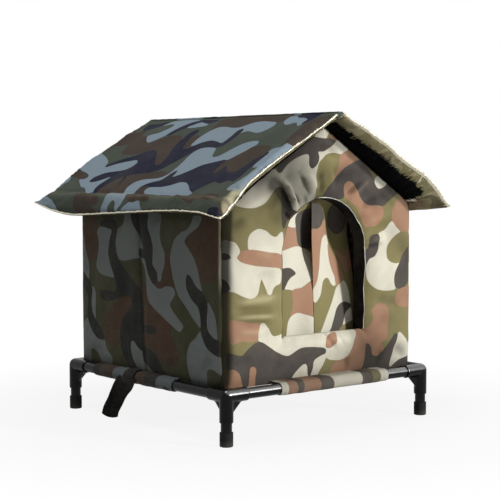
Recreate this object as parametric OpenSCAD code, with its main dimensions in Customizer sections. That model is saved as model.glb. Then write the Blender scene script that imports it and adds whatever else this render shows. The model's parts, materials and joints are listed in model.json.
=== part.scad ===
// Pet house: a padded cloth cabin with a lift-off gable roof, on a tube frame with four feet.
// X is the width, Y runs from the doorway (minus) to the back (plus), Z is up.
// The origin is on the floor, under the middle of the roof.

/* [Cabin] */
// Width over the cabin's outer corners
cabin_w = 374; // [330:1:440]
// Depth from the front corners to the rear corners
cabin_d = 364; // [330:1:440]
// Height of the side walls, from their feet to the eaves
wall_h = 252; // [250:1:340]
// Thickness of the outer cloth and wadding at its edges
cover_t = 4; // [2:0.5:6]
// Thickness of the foam boards in the walls
board_t = 15; // [8:1:20]
// Thickness of the foil lining
lining_t = 1; // [0.6:0.1:2]
// How far the front wall's padding swells beyond its edges
front_crown = 6; // [0:0.5:9]
// How far the other walls' padding swells beyond their edges
side_crown = 4; // [0:0.5:6]
// Depth of the gathers in the padding round the doorway
gather_depth = 1.2; // [0:0.1:2.5]
// Width of the gap between the half boards at a side wall's crease
crease_gap = 2; // [1:0.5:6]

/* [Floor] */
// Thickness of the foam board in the floor
floor_board_t = 10; // [6:1:20]
// Thickness of the cloth under the floor
floor_cloth_t = 1.5; // [1:0.1:2]

/* [Doorway] */
// Width of the doorway
door_w = 163; // [120:1:190]
// Height from the sill to the top of the arch
door_h = 204.5; // [170:0.5:215]
// Height of the sill above the foot of the walls
sill_h = 57; // [40:1:65]
// How far the doorway's middle stands right of the cabin's middle
door_shift = 4.5; // [-20:0.5:20]
// Thickness of the tape bound round the doorway
binding_t = 1.5; // [1:0.1:3]
// How far the tape stands out in front of the wall's edge
binding_lip = 1; // [0:0.1:3]

/* [Flaps] */
// How far the door flaps reach past the doorway's sides
flap_lap = 10; // [4:0.5:18]
// How far the flaps reach above the arch
flap_rise = 7.5; // [4:0.5:12]
// How far the flaps reach below the sill
flap_drop = 6; // [2:0.5:20]
// Thickness of a flap
flap_t = 1.5; // [1:0.1:3]
// Gap between the two flaps
flap_slit = 1; // [0.6:0.1:4]
// Depth of the folds that a flap hangs in
flap_fold = 5; // [0:0.5:10]
// Height of the header strip that holds the flaps
header_h = 14; // [8:1:22]
// Thickness of the header strip
header_t = 3; // [2:0.5:6]

/* [Roof] */
// Pitch of the gables and of the roof boards, in degrees
roof_pitch = 32.6; // [25:0.1:38]
// How far the roof reaches in front of the cabin
overhang_front = 38; // [30:1:80]
// How far the roof reaches behind the cabin
overhang_rear = 72; // [30:1:90]
// How far each eave reaches out past the cabin's side
overhang_side = 42; // [36:0.5:70]
// Thickness of the roof at the ridge, measured upright
ridge_t = 9.5; // [8:0.5:12]
// Thickness of the foam boards in the roof
roof_board_t = 10; // [6:0.5:10.5]
// Distance from the ridge to the upper edge of each roof board
board_start = 28; // [25:1:50]
// Width of the soft margin round each roof board
margin_w = 36; // [30:1:50]
// How much thicker the roof's padding is away from the ridge
roof_crown = 10.2; // [8:0.1:14]
// Distance over which the padding swells from the ridge
crown_reach = 50; // [25:1:90]
// How far the soft margin's upper side curls down at the front and rear
margin_curl = 4; // [0:0.5:5]
// How far the soft margin's underside rises at the front and rear
margin_rise = 10; // [5:0.5:10]
// Thickness of the sewn edge at the eaves
rim_t = 5; // [3:0.5:7]
// Mean height of the eave's edge above the plane of the lining
eave_rise = 9; // [4:0.5:11]
// How far the eave's edge waves up and down
eave_wave = 5.5; // [0:0.5:6]
// Radius of the rolled cloth along the ridge that the panels hinge on
fold_r = 1.5; // [1:0.1:2.5]

/* [Grip tape] */
// Thickness of each half of the grip tape
tape_t = 2; // [1:0.1:3]
// Width of the grip tape under the roof
tape_w = 50; // [30:1:60]
// Distance from the ridge to the start of the grip tape
tape_start = 9; // [8:0.5:20]
// How far short of the wall's corner the grip tape ends
tape_short = 13; // [8:0.5:90]
// How far the grip tape stands out in front of the wall
tape_out = 27; // [15:1:30]

/* [Frame] */
// Outside diameter of the tubes
tube_d = 16; // [12:0.5:20]
// Wall of the tubes
tube_wall = 1; // [0.6:0.1:2]
// Height of the rails' axes above the floor
rail_z = 71; // [62:1:140]
// How far the side rails' axes stand outside the cabin's sides
rail_out_side = 7; // [7:0.5:20]
// How far the front rail's axis stands in front of the cabin
rail_out_front = 18; // [10:0.5:24]
// How far the rear rail's axis stands behind the cabin
rail_out_rear = 10; // [9:0.5:24]
// Wall of the corner fittings
fitting_wall = 1.9; // [1.4:0.1:2]
// Reach of a fitting's level sockets from the leg's axis
socket_reach = 36; // [28:1:46]
// Reach of a fitting's upright socket below the rail's axis
socket_drop = 38; // [28:1:40]
// Thickness of the webs in the corner fittings
web_t = 4; // [2:0.5:8]
// How far a web reaches along its level socket
web_reach = 17; // [12:1:27]
// How far a web reaches down the upright socket
web_drop = 17; // [12:1:27]

/* [Feet] */
// Outside diameter of a rubber foot
foot_d = 19.2; // [19:0.1:26]
// Height of a rubber foot
foot_h = 20; // [12:1:21]
// Thickness of the rubber under the leg
foot_floor = 3; // [2:0.5:6]
// Rounding of a foot's lower edge
foot_round = 1.6; // [0.4:0.1:2.5]

/* [Rail sleeves] */
// Thickness of the cloth sleeves
sleeve_t = 1.5; // [1:0.1:2.5]
// Length of the front and rear sleeves
sleeve_l_front = 215; // [120:1:260]
// How far the middle of the front and rear sleeves stands right of the cabin's middle
sleeve_shift_front = 8; // [-15:1:15]
// Length of the side sleeves
sleeve_l_side = 210; // [120:1:260]
// How far the middle of the side sleeves stands behind the cabin's middle
sleeve_shift_side = 22; // [0:1:25]

/* [Tie strap] */
// Width of the webbing
strap_w = 25; // [15:1:40]
// Thickness of the webbing
strap_t = 1.5; // [1:0.1:2.5]
// Distance of the strap behind the cabin's middle
strap_shift = 24; // [0:1:60]

/* [Clearances] */
// Radial clearance of a tube in a socket, a foot or a sleeve
tube_gap = 0.05; // [0.02:0.01:0.1]
// Clearance between soft pieces that meet and pieces that move past them
soft_gap = 0.3; // [0.2:0.05:0.5]
// Clearance between the rails' sleeves and the floor's cloth above them
seat_gap = 0.4; // [0.3:0.05:0.8]
// Clearance between a flap and the lining behind the doorway
flap_gap = 0.4; // [0.3:0.1:0.8]

/* [Hidden] */

// Round faces
$fn = 96;
// Subdivisions of the padded forms
pad_steps = 6;
gable_steps = 10;
// Sharpness of a padded form's crown, as a power of its arch
crown_power = 0.6;
// Gathers in a full turn round the doorway
gather_count = 22;
// Folds across a flap
fold_count = 1.5;

// Places along Y
roof_l = cabin_d + overhang_front + overhang_rear;
front_y = overhang_front - roof_l / 2;
rear_y = front_y + cabin_d;
mid_y = (front_y + rear_y) / 2;
rail_front_y = front_y - rail_out_front;
rail_rear_y = rear_y + rail_out_rear;

// Places along X
half_w = cabin_w / 2;
rail_x = half_w + rail_out_side;
board_half_w = half_w - cover_t;
lining_half_w = board_half_w - board_t;
inside_half_w = lining_half_w - lining_t;

// Places along Y of the wall layers
front_board_y = front_y + cover_t;
front_lining_y = front_board_y + board_t;
front_inside_y = front_lining_y + lining_t;
rear_board_y = rear_y - cover_t - board_t;
rear_lining_y = rear_board_y - lining_t;

// Heights
sleeve_r = tube_d / 2 + tube_gap + sleeve_t;
fitting_r = tube_d / 2 + tube_gap + fitting_wall;
foot_z = rail_z + max(sleeve_r, fitting_r) + seat_gap;
eave_z = foot_z + wall_h;
apex_z = eave_z + half_w * tan(roof_pitch);
tape_stack = 2 * tape_t + soft_gap;
tape_l = half_w / cos(roof_pitch) - tape_start - tape_short;
roof_z = apex_z + tape_stack / cos(roof_pitch);
ridge_z = roof_z + ridge_t;
sill_z = foot_z + sill_h;
arch_r = door_w / 2;
arch_z = sill_z + door_h - arch_r;
door_x = door_shift;

// Height of the gable's top edge at a distance x from the middle
function gable_z(x) = apex_z - tan(roof_pitch) * abs(x);

// Swelling of a pad, nought at both ends of v and full in its middle
function crown(v) = pow(sin(180 * v), crown_power);

// Points from a towards b in n steps, without b
function steps(a, b, n) = [for (k = [0:n - 1]) a + (b - a) * k / n];

// Closed form between two grids of points. Rows times columns of the front point outwards.
// A ring's last row is joined to its first.
module grid_form(front, back, ring = false) {
    rows = len(front);
    cols = len(front[0]);
    size = rows * cols;
    points = concat([for (row = front) each row], [for (row = back) each row]);
    last = ring ? rows - 1 : rows - 2;
    function at(i, j) = (i % rows) * cols + j;
    front_faces = [for (i = [0:last], j = [0:cols - 2]) each
        [[at(i, j), at(i, j + 1), at(i + 1, j + 1)], [at(i, j), at(i + 1, j + 1), at(i + 1, j)]]];
    back_faces = [for (i = [0:last], j = [0:cols - 2]) each
        [[at(i, j), at(i + 1, j), at(i + 1, j + 1)], [at(i, j), at(i + 1, j + 1), at(i, j + 1)]]];
    foot_faces = [for (i = [0:last]) each
        [[at(i, 0), at(i + 1, 0), size + at(i + 1, 0)], [at(i, 0), size + at(i + 1, 0), size + at(i, 0)]]];
    head = cols - 1;
    head_faces = [for (i = [0:last]) each
        [[at(i + 1, head), at(i, head), size + at(i, head)],
         [at(i + 1, head), size + at(i, head), size + at(i + 1, head)]]];
    end = rows - 1;
    start_faces = ring ? [] : [for (j = [0:cols - 2]) each
        [[at(0, j + 1), at(0, j), size + at(0, j)], [at(0, j + 1), size + at(0, j), size + at(0, j + 1)]]];
    end_faces = ring ? [] : [for (j = [0:cols - 2]) each
        [[at(end, j), at(end, j + 1), size + at(end, j + 1)],
         [at(end, j), size + at(end, j + 1), size + at(end, j)]]];
    turned_back = [for (face = back_faces) [for (corner = face) size + corner]];
    polyhedron(points, concat(front_faces, turned_back, foot_faces, head_faces, start_faces, end_faces));
}

// Puts a piece drawn along the right roof slope onto its side: x runs down the slope, z out of it
module on_slope(side) {
    if (side > 0)
        translate([0, 0, roof_z]) rotate([0, roof_pitch, 0]) children();
    else
        mirror([1, 0, 0]) translate([0, 0, roof_z]) rotate([0, roof_pitch, 0]) children();
}

// Mirrors a right-hand piece to the left
module on_side(side) {
    if (side > 0)
        children();
    else
        mirror([1, 0, 0]) children();
}

// Tube along Z
module tube(length) {
    difference() {
        cylinder(d = tube_d, h = length);
        translate([0, 0, -1]) cylinder(d = tube_d - 2 * tube_wall, h = length + 2);
    }
}

// The rails stop short of the leg inside each fitting
rail_stop = tube_d / 2 + 2;

// Rail along X, at y
module rail_x_way(y) {
    color("#17181b")
        translate([-rail_x + rail_stop, y, rail_z]) rotate([0, 90, 0]) tube(2 * (rail_x - rail_stop));
}

// Rail along Y, on a side
module rail_y_way(side) {
    color("#17181b")
        translate([side * rail_x, rail_front_y + rail_stop, rail_z]) rotate([-90, 0, 0])
            tube(rail_rear_y - rail_front_y - 2 * rail_stop);
}

// Place of a leg's axis
function leg_y(end) = end < 0 ? rail_front_y : rail_rear_y;

// The leg stands on the foot's floor and stops under the rails
leg_top_z = rail_z - tube_d / 2 - 2;

module leg(side, end) {
    color("#141517")
        translate([side * rail_x, leg_y(end), foot_floor]) tube(leg_top_z - foot_floor);
}

// Web in the plane of one level socket and the upright socket, both axes at the origin
module web() {
    rotate([90, 0, 0]) translate([0, 0, -web_t / 2]) linear_extrude(web_t)
        polygon([[0, 0], [fitting_r + web_reach, 0], [fitting_r + web_reach, -fitting_r + 1],
                 [fitting_r - 1, -fitting_r - web_drop], [0, -fitting_r - web_drop]]);
}

// Corner fitting with sockets towards +X, +Y and -Z, before it is turned into its corner
module corner_body() {
    bore_r = tube_d / 2 + tube_gap;
    difference() {
        union() {
            sphere(r = fitting_r);
            rotate([0, 90, 0]) cylinder(r = fitting_r, h = socket_reach);
            rotate([-90, 0, 0]) cylinder(r = fitting_r, h = socket_reach);
            translate([0, 0, -socket_drop]) cylinder(r = fitting_r, h = socket_drop);
            web();
            rotate([0, 0, 90]) web();
        }
        translate([rail_stop, 0, 0]) rotate([0, 90, 0]) cylinder(r = bore_r, h = socket_reach);
        translate([0, rail_stop, 0]) rotate([-90, 0, 0]) cylinder(r = bore_r, h = socket_reach);
        translate([0, 0, -socket_drop - 1]) cylinder(r = bore_r, h = socket_drop + 1 + leg_top_z - rail_z);
    }
}

module corner(side, end) {
    color("#1b1c1f")
        translate([side * rail_x, leg_y(end), rail_z])
            rotate([0, 0, side < 0 ? (end < 0 ? 0 : -90) : (end < 0 ? 90 : 180)]) corner_body();
}

// Rubber cap with a rounded lower edge, turned about the leg
module foot(side, end) {
    outer_r = max(foot_d / 2, tube_d / 2 + tube_gap + 1);
    color("#26272a")
        translate([side * rail_x, leg_y(end), 0]) rotate_extrude()
            difference() {
                union() {
                    square([outer_r - foot_round, foot_round]);
                    translate([0, foot_round]) square([outer_r, foot_h - foot_round]);
                    translate([outer_r - foot_round, foot_round]) intersection() {
                        circle(r = foot_round);
                        translate([0, -foot_round]) square([foot_round, foot_round]);
                    }
                }
                translate([0, foot_floor]) square([tube_d / 2 + tube_gap, foot_h]);
            }
}

// Cloth sleeve round a rail, along X from the origin, with the tab that joins it to the cabin
module sleeve(length, tab) {
    difference() {
        union() {
            rotate([0, 90, 0]) cylinder(r = sleeve_r, h = length);
            translate([0, 0, foot_z - floor_cloth_t - rail_z]) cube([length, tab, floor_cloth_t]);
        }
        translate([-1, 0, 0]) rotate([0, 90, 0]) cylinder(r = tube_d / 2 + tube_gap, h = length + 2);
    }
}

module sleeve_x_way(end) {
    tab = end < 0 ? rail_out_front : rail_out_rear;
    color("#a98f77")
        translate([sleeve_shift_front, leg_y(end), rail_z])
            rotate([0, 0, end < 0 ? 0 : 180]) translate([-sleeve_l_front / 2, 0, 0])
                sleeve(sleeve_l_front, tab);
}

module sleeve_y_way(side) {
    color("#6d6f66")
        translate([side * rail_x, mid_y + sleeve_shift_side, rail_z])
            rotate([0, 0, side < 0 ? -90 : 90]) translate([-sleeve_l_side / 2, 0, 0])
                sleeve(sleeve_l_side, rail_out_side);
}

// Floor layers, one on the other
module floor_cloth() {
    color("#3b3d35")
        translate([-half_w, front_y, foot_z - floor_cloth_t]) cube([cabin_w, cabin_d, floor_cloth_t]);
}

module floor_layer(z, t) {
    translate([-inside_half_w, front_inside_y, z])
        cube([2 * inside_half_w, rear_lining_y - front_inside_y, t]);
}

module floor_board() {
    color("#d8d6cc") floor_layer(foot_z, floor_board_t);
}

module floor_lining() {
    color("#b9b39c") floor_layer(foot_z + floor_board_t, lining_t);
}

// Outline of a gable wall of half width w, without its doorway
module gable_outline(w) {
    polygon([[-w, foot_z], [w, foot_z], [w, gable_z(w)], [0, apex_z], [-w, gable_z(w)]]);
}

// Outline of the doorway, made smaller all round by inset
module door_outline(inset = 0) {
    translate([door_x - arch_r + inset, sill_z + inset])
        square([door_w - 2 * inset, arch_z - sill_z - inset]);
    translate([door_x, arch_z]) circle(r = arch_r - inset);
}

// Extrudes an outline drawn in x and z over the stretch of y from y to y + t
module across_y(y, t) {
    translate([0, y + t, 0]) rotate([90, 0, 0]) linear_extrude(t) children();
}

module gable_layer(y, t, w, doorway) {
    across_y(y, t) difference() {
        gable_outline(w);
        if (doorway)
            door_outline();
    }
}

// Where the ray from the arch's middle through the doorway's edge lies, as a share of the way to d
function door_share(d) = d[1] >= 0
    ? (arch_r + soft_gap) / norm(d)
    : min((arch_r + soft_gap) / max(abs(d[0]), 0.001), (arch_z - sill_z + soft_gap) / -d[1]);

// The wall's outline as points, with the rays through the sill's corners kept
sill_ray = (arch_r + soft_gap) / (arch_z - sill_z + soft_gap) * (arch_z - foot_z);
function wall_points(w) = concat(
    steps([-w, foot_z], [door_x - sill_ray, foot_z], 3),
    steps([door_x - sill_ray, foot_z], [door_x + sill_ray, foot_z], 8),
    steps([door_x + sill_ray, foot_z], [w, foot_z], 3),
    steps([w, foot_z], [w, gable_z(w)], 8),
    steps([w, gable_z(w)], [0, apex_z], gable_steps),
    steps([0, apex_z], [-w, gable_z(w)], gable_steps),
    steps([-w, gable_z(w)], [-w, foot_z], 8));

// How far the front cover stands out at p, between the outline (v = 0) and the doorway (v = 1)
function front_swell(p, v) =
    front_crown * crown(v)
    + gather_depth * v * (p[1] > arch_z ? sin(gather_count * atan2(p[0] - door_x, p[1] - arch_z)) : 0);

// One ray of the front cover's grid, from the wall's outline to the doorway
function front_ray(p, y, swell) = [for (k = [0:pad_steps])
    let(v = k / pad_steps,
        d = [p[0] - door_x, p[1] - arch_z],
        share = 1 + (door_share(d) - 1) * v,
        q = [door_x + d[0] * share, arch_z + d[1] * share])
    [q[0], y - (swell ? front_swell(q, v) : 0), q[1]]];

// Padded outer cloth of the front wall, its corners mitred
module front_cover() {
    color("#b9ab8e")
        grid_form([for (p = wall_points(half_w)) front_ray(p, front_y, true)],
                  [for (p = wall_points(board_half_w)) front_ray(p, front_board_y, false)], ring = true);
}

module front_board() {
    color("#d8d6cc") gable_layer(front_board_y, board_t, board_half_w, true);
}

module front_lining() {
    color("#b9b39c") gable_layer(front_lining_y, lining_t, lining_half_w, true);
}

// Column of the rear cover's grid at share u of the width, w being its half width
function rear_column(u, w, y, swell) = [for (k = [0:pad_steps])
    let(v = k / pad_steps, x = w * (2 * u - 1))
    [-x, y + (swell ? side_crown * crown(u) * crown(v) : 0), foot_z + (gable_z(x) - foot_z) * v]];

module rear_cover() {
    columns = 2 * pad_steps;
    color("#7c7a68")
        grid_form([for (i = [0:columns]) rear_column(i / columns, half_w, rear_y, true)],
                  [for (i = [0:columns]) rear_column(i / columns, board_half_w, rear_y - cover_t, false)]);
}

module rear_board() {
    color("#d8d6cc") gable_layer(rear_board_y, board_t, board_half_w, false);
}

module rear_lining() {
    color("#b9b39c") gable_layer(rear_lining_y, lining_t, lining_half_w, false);
}

// Column of a side cover's grid: two swelling halves, with the crease where they meet
function side_column(u, x, y0, y1, swell) = [for (k = [0:pad_steps])
    let(v = k / pad_steps, half = u < 0.5 ? 2 * u : 2 * u - 1)
    [x + (swell ? side_crown * crown(half) * crown(v) : 0), y0 + (y1 - y0) * u,
     foot_z + (gable_z(x) - foot_z) * v]];

module side_cover(side) {
    columns = 16;
    color("#4d5148") on_side(side)
        grid_form([for (i = [0:columns]) side_column(i / columns, half_w, front_y, rear_y, true)],
                  [for (i = [0:columns])
                      side_column(i / columns, board_half_w, front_board_y, rear_y - cover_t, false)]);
}

// Upright slab of a side wall between x0 and x1, its top cut to the roof's pitch
module side_slab(x0, x1, y0, y1) {
    across_y(y0, y1 - y0)
        polygon([[x0, foot_z], [x1, foot_z], [x1, gable_z(x1)], [x0, gable_z(x0)]]);
}

module side_boards(side) {
    color("#d8d6cc") on_side(side) {
        side_slab(lining_half_w, board_half_w, front_lining_y, mid_y - crease_gap / 2);
        side_slab(lining_half_w, board_half_w, mid_y + crease_gap / 2, rear_board_y);
    }
}

module side_lining(side) {
    color("#b9b39c") on_side(side) side_slab(inside_half_w, lining_half_w, front_inside_y, rear_lining_y);
}

// Tape bound round the doorway's edge, through the wall
module door_binding() {
    color("#101114")
        across_y(front_y - binding_lip, front_inside_y - front_y + binding_lip) difference() {
            door_outline();
            door_outline(binding_t);
        }
}

// Flaps hang behind the doorway from the header's lower edge
flap_y = front_inside_y + flap_gap;
flap_top_z = sill_z + door_h + flap_rise;
flap_foot_z = sill_z - flap_drop;
flap_hinge = [flap_y + flap_t / 2, flap_top_z];
flap_w = arch_r + flap_lap - flap_slit / 2;
hinge_drop = 0.3;

module flap_header() {
    header_z = flap_top_z + flap_t / 2 + hinge_drop;
    color("#2b2c2a")
        translate([door_x - arch_r - flap_lap, front_inside_y, header_z])
            cube([door_w + 2 * flap_lap, header_t, header_h]);
}

// Column of a flap's grid at share u from the slit to its outer edge, its folds deepening downwards
function flap_column(u, side, back) = [for (k = [0:pad_steps + 2])
    let(v = k / (pad_steps + 2),
        fold = flap_fold * (1 - v) * (0.5 - 0.5 * cos(360 * fold_count * u)))
    [door_x + side * (flap_slit / 2 + flap_w * u), flap_y + fold + back,
     flap_foot_z + (flap_top_z - hinge_drop - flap_foot_z) * v]];

module flap(side) {
    columns = 10;
    order = side > 0 ? [0:columns] : [columns:-1:0];
    color("#a58f73")
        grid_form([for (i = order) flap_column(i / columns, side, 0)],
                  [for (i = order) flap_column(i / columns, side, flap_t)]);
}

// Loop half of the grip tape, along the top of a gable wall
wall_t = cover_t + board_t + lining_t;

module loop_tape(y) {
    color("#151517") for (side = [-1, 1])
        on_slope(side) translate([tape_start, y, -tape_stack]) cube([tape_l, wall_t, tape_t]);
}

// Hook half of the grip tape, under the roof
module hook_tape(side, y) {
    color("#0e0e10") on_slope(side) translate([tape_start, y, -tape_t]) cube([tape_l, tape_w, tape_t]);
}

// Rolled cloth along the ridge, on the hinge axis of both roof panels
module ridge_fold() {
    color("#3f4640")
        translate([0, -roof_l / 2, ridge_z]) rotate([-90, 0, 0]) cylinder(r = fold_r, h = roof_l);
}

// The roof panels, drawn along the right slope. The ridge end is cut upright beside the middle,
// and the highest point of the eave's edge ends at the overhang.
panel_l = (half_w + overhang_side - (eave_rise + eave_wave + rim_t / 2) * sin(roof_pitch))
    / cos(roof_pitch);
board_end = panel_l - margin_w;
board_half_l = roof_l / 2 - margin_w;
// How far apart the panels' ridge ends stand from the middle
ridge_gap = 0.3;
// Depth that the panels' upper edge keeps below the hinge axis, clear of the rolled cloth
ridge_drop = fold_r + 0.5;
// The hinge axis in the slope's own x and z
axis_s = -ridge_t * sin(roof_pitch);
axis_t = ridge_t * cos(roof_pitch);

// Share of the way across the soft margin, nought over the board and one at the edge
function margin_share(distance, inner) = max(0, min(1, (abs(distance) - inner) / margin_w));

// Place on the slope of the upright cut at the ridge, for height t
function ridge_cut(t) = (ridge_gap - t * sin(roof_pitch)) / cos(roof_pitch);

// Wave of the eave's edge: high towards the front, low towards the rear
function eave_edge(y) = eave_rise - rim_t / 2 + eave_wave * cos(360 * (y / roof_l + 0.27) * 1.08);

// Share of the padding's swelling, nought at the ridge
function padding(s) = 1 - exp(-(s - axis_s) / crown_reach);

// Height of the lining's underside above the plane of the boards
function under(s, y) =
    margin_rise * padding(s) * pow(margin_share(y, board_half_l), 2)
    + (eave_edge(y) - lining_t) * pow(margin_share(s, board_end), 2)
      * (1 - 0.5 * margin_share(y, board_half_l));

// Height of the cover's upper side: a swelling from the ridge, a curl at the ends, a roll at the eave
function swell(s, y) =
    axis_t + padding(s) * (roof_crown - margin_curl * pow(margin_share(y, board_half_l), 2));
function over(s, y) =
    let(low = under(s, y) + lining_t + rim_t, roll = sqrt(1 - pow(margin_share(s, board_end), 2)))
    low + (swell(s, y) - low) * roll;

// The cover turns up round the foam board within this distance of the board's edges
turn_w = 0.5;

// Whether a place is over the foam board, and the height of the cover's inner side there
function over_board(s, y) =
    s >= board_start && s <= board_end && abs(y) <= board_half_l;
function pocket(s, y) = over_board(s, y) ? lining_t + roof_board_t : under(s, y) + lining_t;

// Grid lines down the slope and along the roof
inner_s = concat([board_start - turn_w], steps(board_start, board_end, 5), [board_end]);
outer_s = concat([board_end + turn_w], [for (k = [1:4]) board_end + margin_w * sin(90 * k / 4)]);
under_s = concat([3, 12], inner_s, outer_s);
over_s = concat([axis_s + fold_r + 1.2, 9], inner_s, outer_s);
edge_y = concat([board_half_l + turn_w], [for (k = [1:4]) board_half_l + margin_w * sin(90 * k / 4)]);
grid_y = concat([for (k = [4:-1:0]) -edge_y[k]], steps(-board_half_l, board_half_l, 8),
                [board_half_l], edge_y);

// Columns of the grids: the lining's two sides, and the cover's inner and upper side
function under_column(y, t) = concat(
    [[ridge_cut(under(0, y) + t), y, under(0, y) + t]],
    [for (s = under_s) [s, y, under(s, y) + t]]);
function pocket_column(y) = concat(
    [[ridge_cut(under(0, y) + lining_t), y, under(0, y) + lining_t]],
    [for (s = under_s) [s, y, pocket(s, y)]]);
function over_column(y) =
    let(t = ridge_gap * sin(roof_pitch) + (ridge_t - ridge_drop) * cos(roof_pitch))
    concat([[ridge_cut(t), y, t]], [for (s = over_s) [s, y, over(s, y)]]);

// Grids run down the slope first, so that the front's faces point out of the roof
function turned(grid) = [for (j = [0:len(grid[0]) - 1]) [for (row = grid) row[j]]];

module roof_cover(side) {
    color("#5b6a66") on_slope(side)
        grid_form(turned([for (y = grid_y) over_column(y)]),
                  turned([for (y = grid_y) pocket_column(y)]));
}

module roof_board(side) {
    color("#d8d6cc") on_slope(side)
        translate([board_start, -board_half_l, lining_t])
            cube([board_end - board_start, 2 * board_half_l, roof_board_t]);
}

module roof_lining(side) {
    color("#b9b39c") on_slope(side)
        grid_form(turned([for (y = grid_y) under_column(y, lining_t)]),
                  turned([for (y = grid_y) under_column(y, 0)]));
}

// The strap comes out over the left rail, above its sleeve, and bends down on the outside
strap_y = mid_y + strap_shift;
strap_r = foot_z + soft_gap - rail_z;
strap_axis_x = -rail_x - strap_r - strap_t / 2;
// Gap between the strap's fixed stretch and the tail that swings
strap_joint = 0.8;

module strap_root() {
    color("#1a1c24") {
        translate([-rail_x, strap_y - strap_w / 2, foot_z + soft_gap])
            cube([rail_x - half_w - soft_gap, strap_w, strap_t]);
        translate([-rail_x, strap_y + strap_w / 2, rail_z]) rotate([90, 0, 0])
            rotate([0, 0, 90]) rotate_extrude_arc(strap_r, strap_t, strap_w);
    }
}

// Quarter of a ring, a strap's thickness thick and a strap's width high
module rotate_extrude_arc(inner_r, t, h) {
    rotate_extrude(angle = 90) translate([inner_r, 0]) square([t, h]);
}

// Middle line of the tail, from the top of its hang, and the turn of the webbing at each point
tail_route = [[0, 0, 0], [-3, 12, -13], [-6, 19, -25], [-9.5, 23, -37], [-13, 28, -49],
              [-14, 31, -59]];
tail_turn = [0, 30, 44, 49, 50, 50];

function unit(v) = v / norm(v);
function tail_way(i) = i == 0 ? [0, 0, -1]
    : unit(tail_route[min(i + 1, len(tail_route) - 1)] - tail_route[i - 1]);
function tail_across(i) =
    let(w = [-sin(tail_turn[i]), cos(tail_turn[i]), 0], way = tail_way(i))
    unit(w - (w * way) * way);

// Two corners of the webbing at a point of the route, on its face (1) or its back (-1)
function tail_edge(i, face) =
    let(start = [strap_axis_x, strap_y, rail_z - strap_joint],
        across = tail_across(i),
        out = cross(tail_way(i), across) * face * strap_t / 2)
    [for (e = [-1, 1]) start + tail_route[i] + out + across * e * strap_w / 2];

module strap_tail() {
    color("#121318")
        grid_form([for (i = [0:len(tail_route) - 1]) tail_edge(i, 1)],
                  [for (i = [0:len(tail_route) - 1]) tail_edge(i, -1)]);
}

rail_x_way(rail_front_y);  // rail_front
rail_x_way(rail_rear_y);  // rail_rear
rail_y_way(-1);  // rail_left
rail_y_way(1);  // rail_right
corner(-1, -1);  // corner_front_left
corner(1, -1);  // corner_front_right
corner(-1, 1);  // corner_rear_left
corner(1, 1);  // corner_rear_right
leg(-1, -1);  // leg_front_left
leg(1, -1);  // leg_front_right
leg(-1, 1);  // leg_rear_left
leg(1, 1);  // leg_rear_right
foot(-1, -1);  // foot_front_left
foot(1, -1);  // foot_front_right
foot(-1, 1);  // foot_rear_left
foot(1, 1);  // foot_rear_right
sleeve_x_way(-1);  // sleeve_front
sleeve_x_way(1);  // sleeve_rear
sleeve_y_way(-1);  // sleeve_left
sleeve_y_way(1);  // sleeve_right
floor_cloth();
floor_board();
floor_lining();
front_cover();
front_board();
front_lining();
rear_cover();
rear_board();
rear_lining();
side_cover(-1);  // left_cover
side_boards(-1);  // left_boards
side_lining(-1);  // left_lining
side_cover(1);  // right_cover
side_boards(1);  // right_boards
side_lining(1);  // right_lining
door_binding();
flap_header();
flap(-1);  // flap_left
flap(1);  // flap_right
loop_tape(front_y);  // loop_tape_front
loop_tape(rear_y - wall_t);  // loop_tape_rear
ridge_fold();
roof_cover(-1);  // roof_left_cover
roof_board(-1);  // roof_left_board
roof_lining(-1);  // roof_left_lining
roof_cover(1);  // roof_right_cover
roof_board(1);  // roof_right_board
roof_lining(1);  // roof_right_lining
hook_tape(-1, front_y - tape_out);  // hook_tape_left_front
hook_tape(-1, rear_y - wall_t / 2 - tape_w / 2);  // hook_tape_left_rear
hook_tape(1, front_y - tape_out);  // hook_tape_right_front
hook_tape(1, rear_y - wall_t / 2 - tape_w / 2);  // hook_tape_right_rear
strap_root();
strap_tail();
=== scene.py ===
# %% [markdown]
# # A camouflage pet house
# A padded cloth cabin with a gable roof stands on a black tube frame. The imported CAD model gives
# every size and place; this lesson dresses it. Lengths are millimetres until a mesh is made.

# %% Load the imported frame
import json
import math
import bpy
import numpy as np
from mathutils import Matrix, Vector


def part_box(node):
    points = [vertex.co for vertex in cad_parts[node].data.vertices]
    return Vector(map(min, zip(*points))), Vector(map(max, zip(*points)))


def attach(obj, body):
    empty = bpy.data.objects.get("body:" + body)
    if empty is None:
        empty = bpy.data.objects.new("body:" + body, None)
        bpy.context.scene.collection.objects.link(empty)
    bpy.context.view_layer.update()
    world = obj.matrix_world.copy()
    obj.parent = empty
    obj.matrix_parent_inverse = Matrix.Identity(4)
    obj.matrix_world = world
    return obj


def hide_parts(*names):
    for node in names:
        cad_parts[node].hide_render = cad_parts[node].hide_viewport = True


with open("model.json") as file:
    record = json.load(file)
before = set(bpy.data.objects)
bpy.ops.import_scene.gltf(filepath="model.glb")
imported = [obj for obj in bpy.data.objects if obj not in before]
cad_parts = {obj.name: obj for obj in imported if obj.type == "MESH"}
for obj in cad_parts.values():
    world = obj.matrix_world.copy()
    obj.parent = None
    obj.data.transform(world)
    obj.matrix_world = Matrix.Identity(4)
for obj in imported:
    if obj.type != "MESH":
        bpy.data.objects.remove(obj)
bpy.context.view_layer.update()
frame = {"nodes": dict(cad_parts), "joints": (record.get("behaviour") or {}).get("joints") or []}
MM = 0.001
SIDES, ENDS = ("left", "right"), ("front", "rear")
TURN = {"left": -1, "right": 1, "front": -1, "rear": 1}


def box(node):
    """Lowest and highest corner of a CAD node, in millimetres."""
    low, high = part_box(node)
    return np.array(low) / MM, np.array(high) / MM


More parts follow.
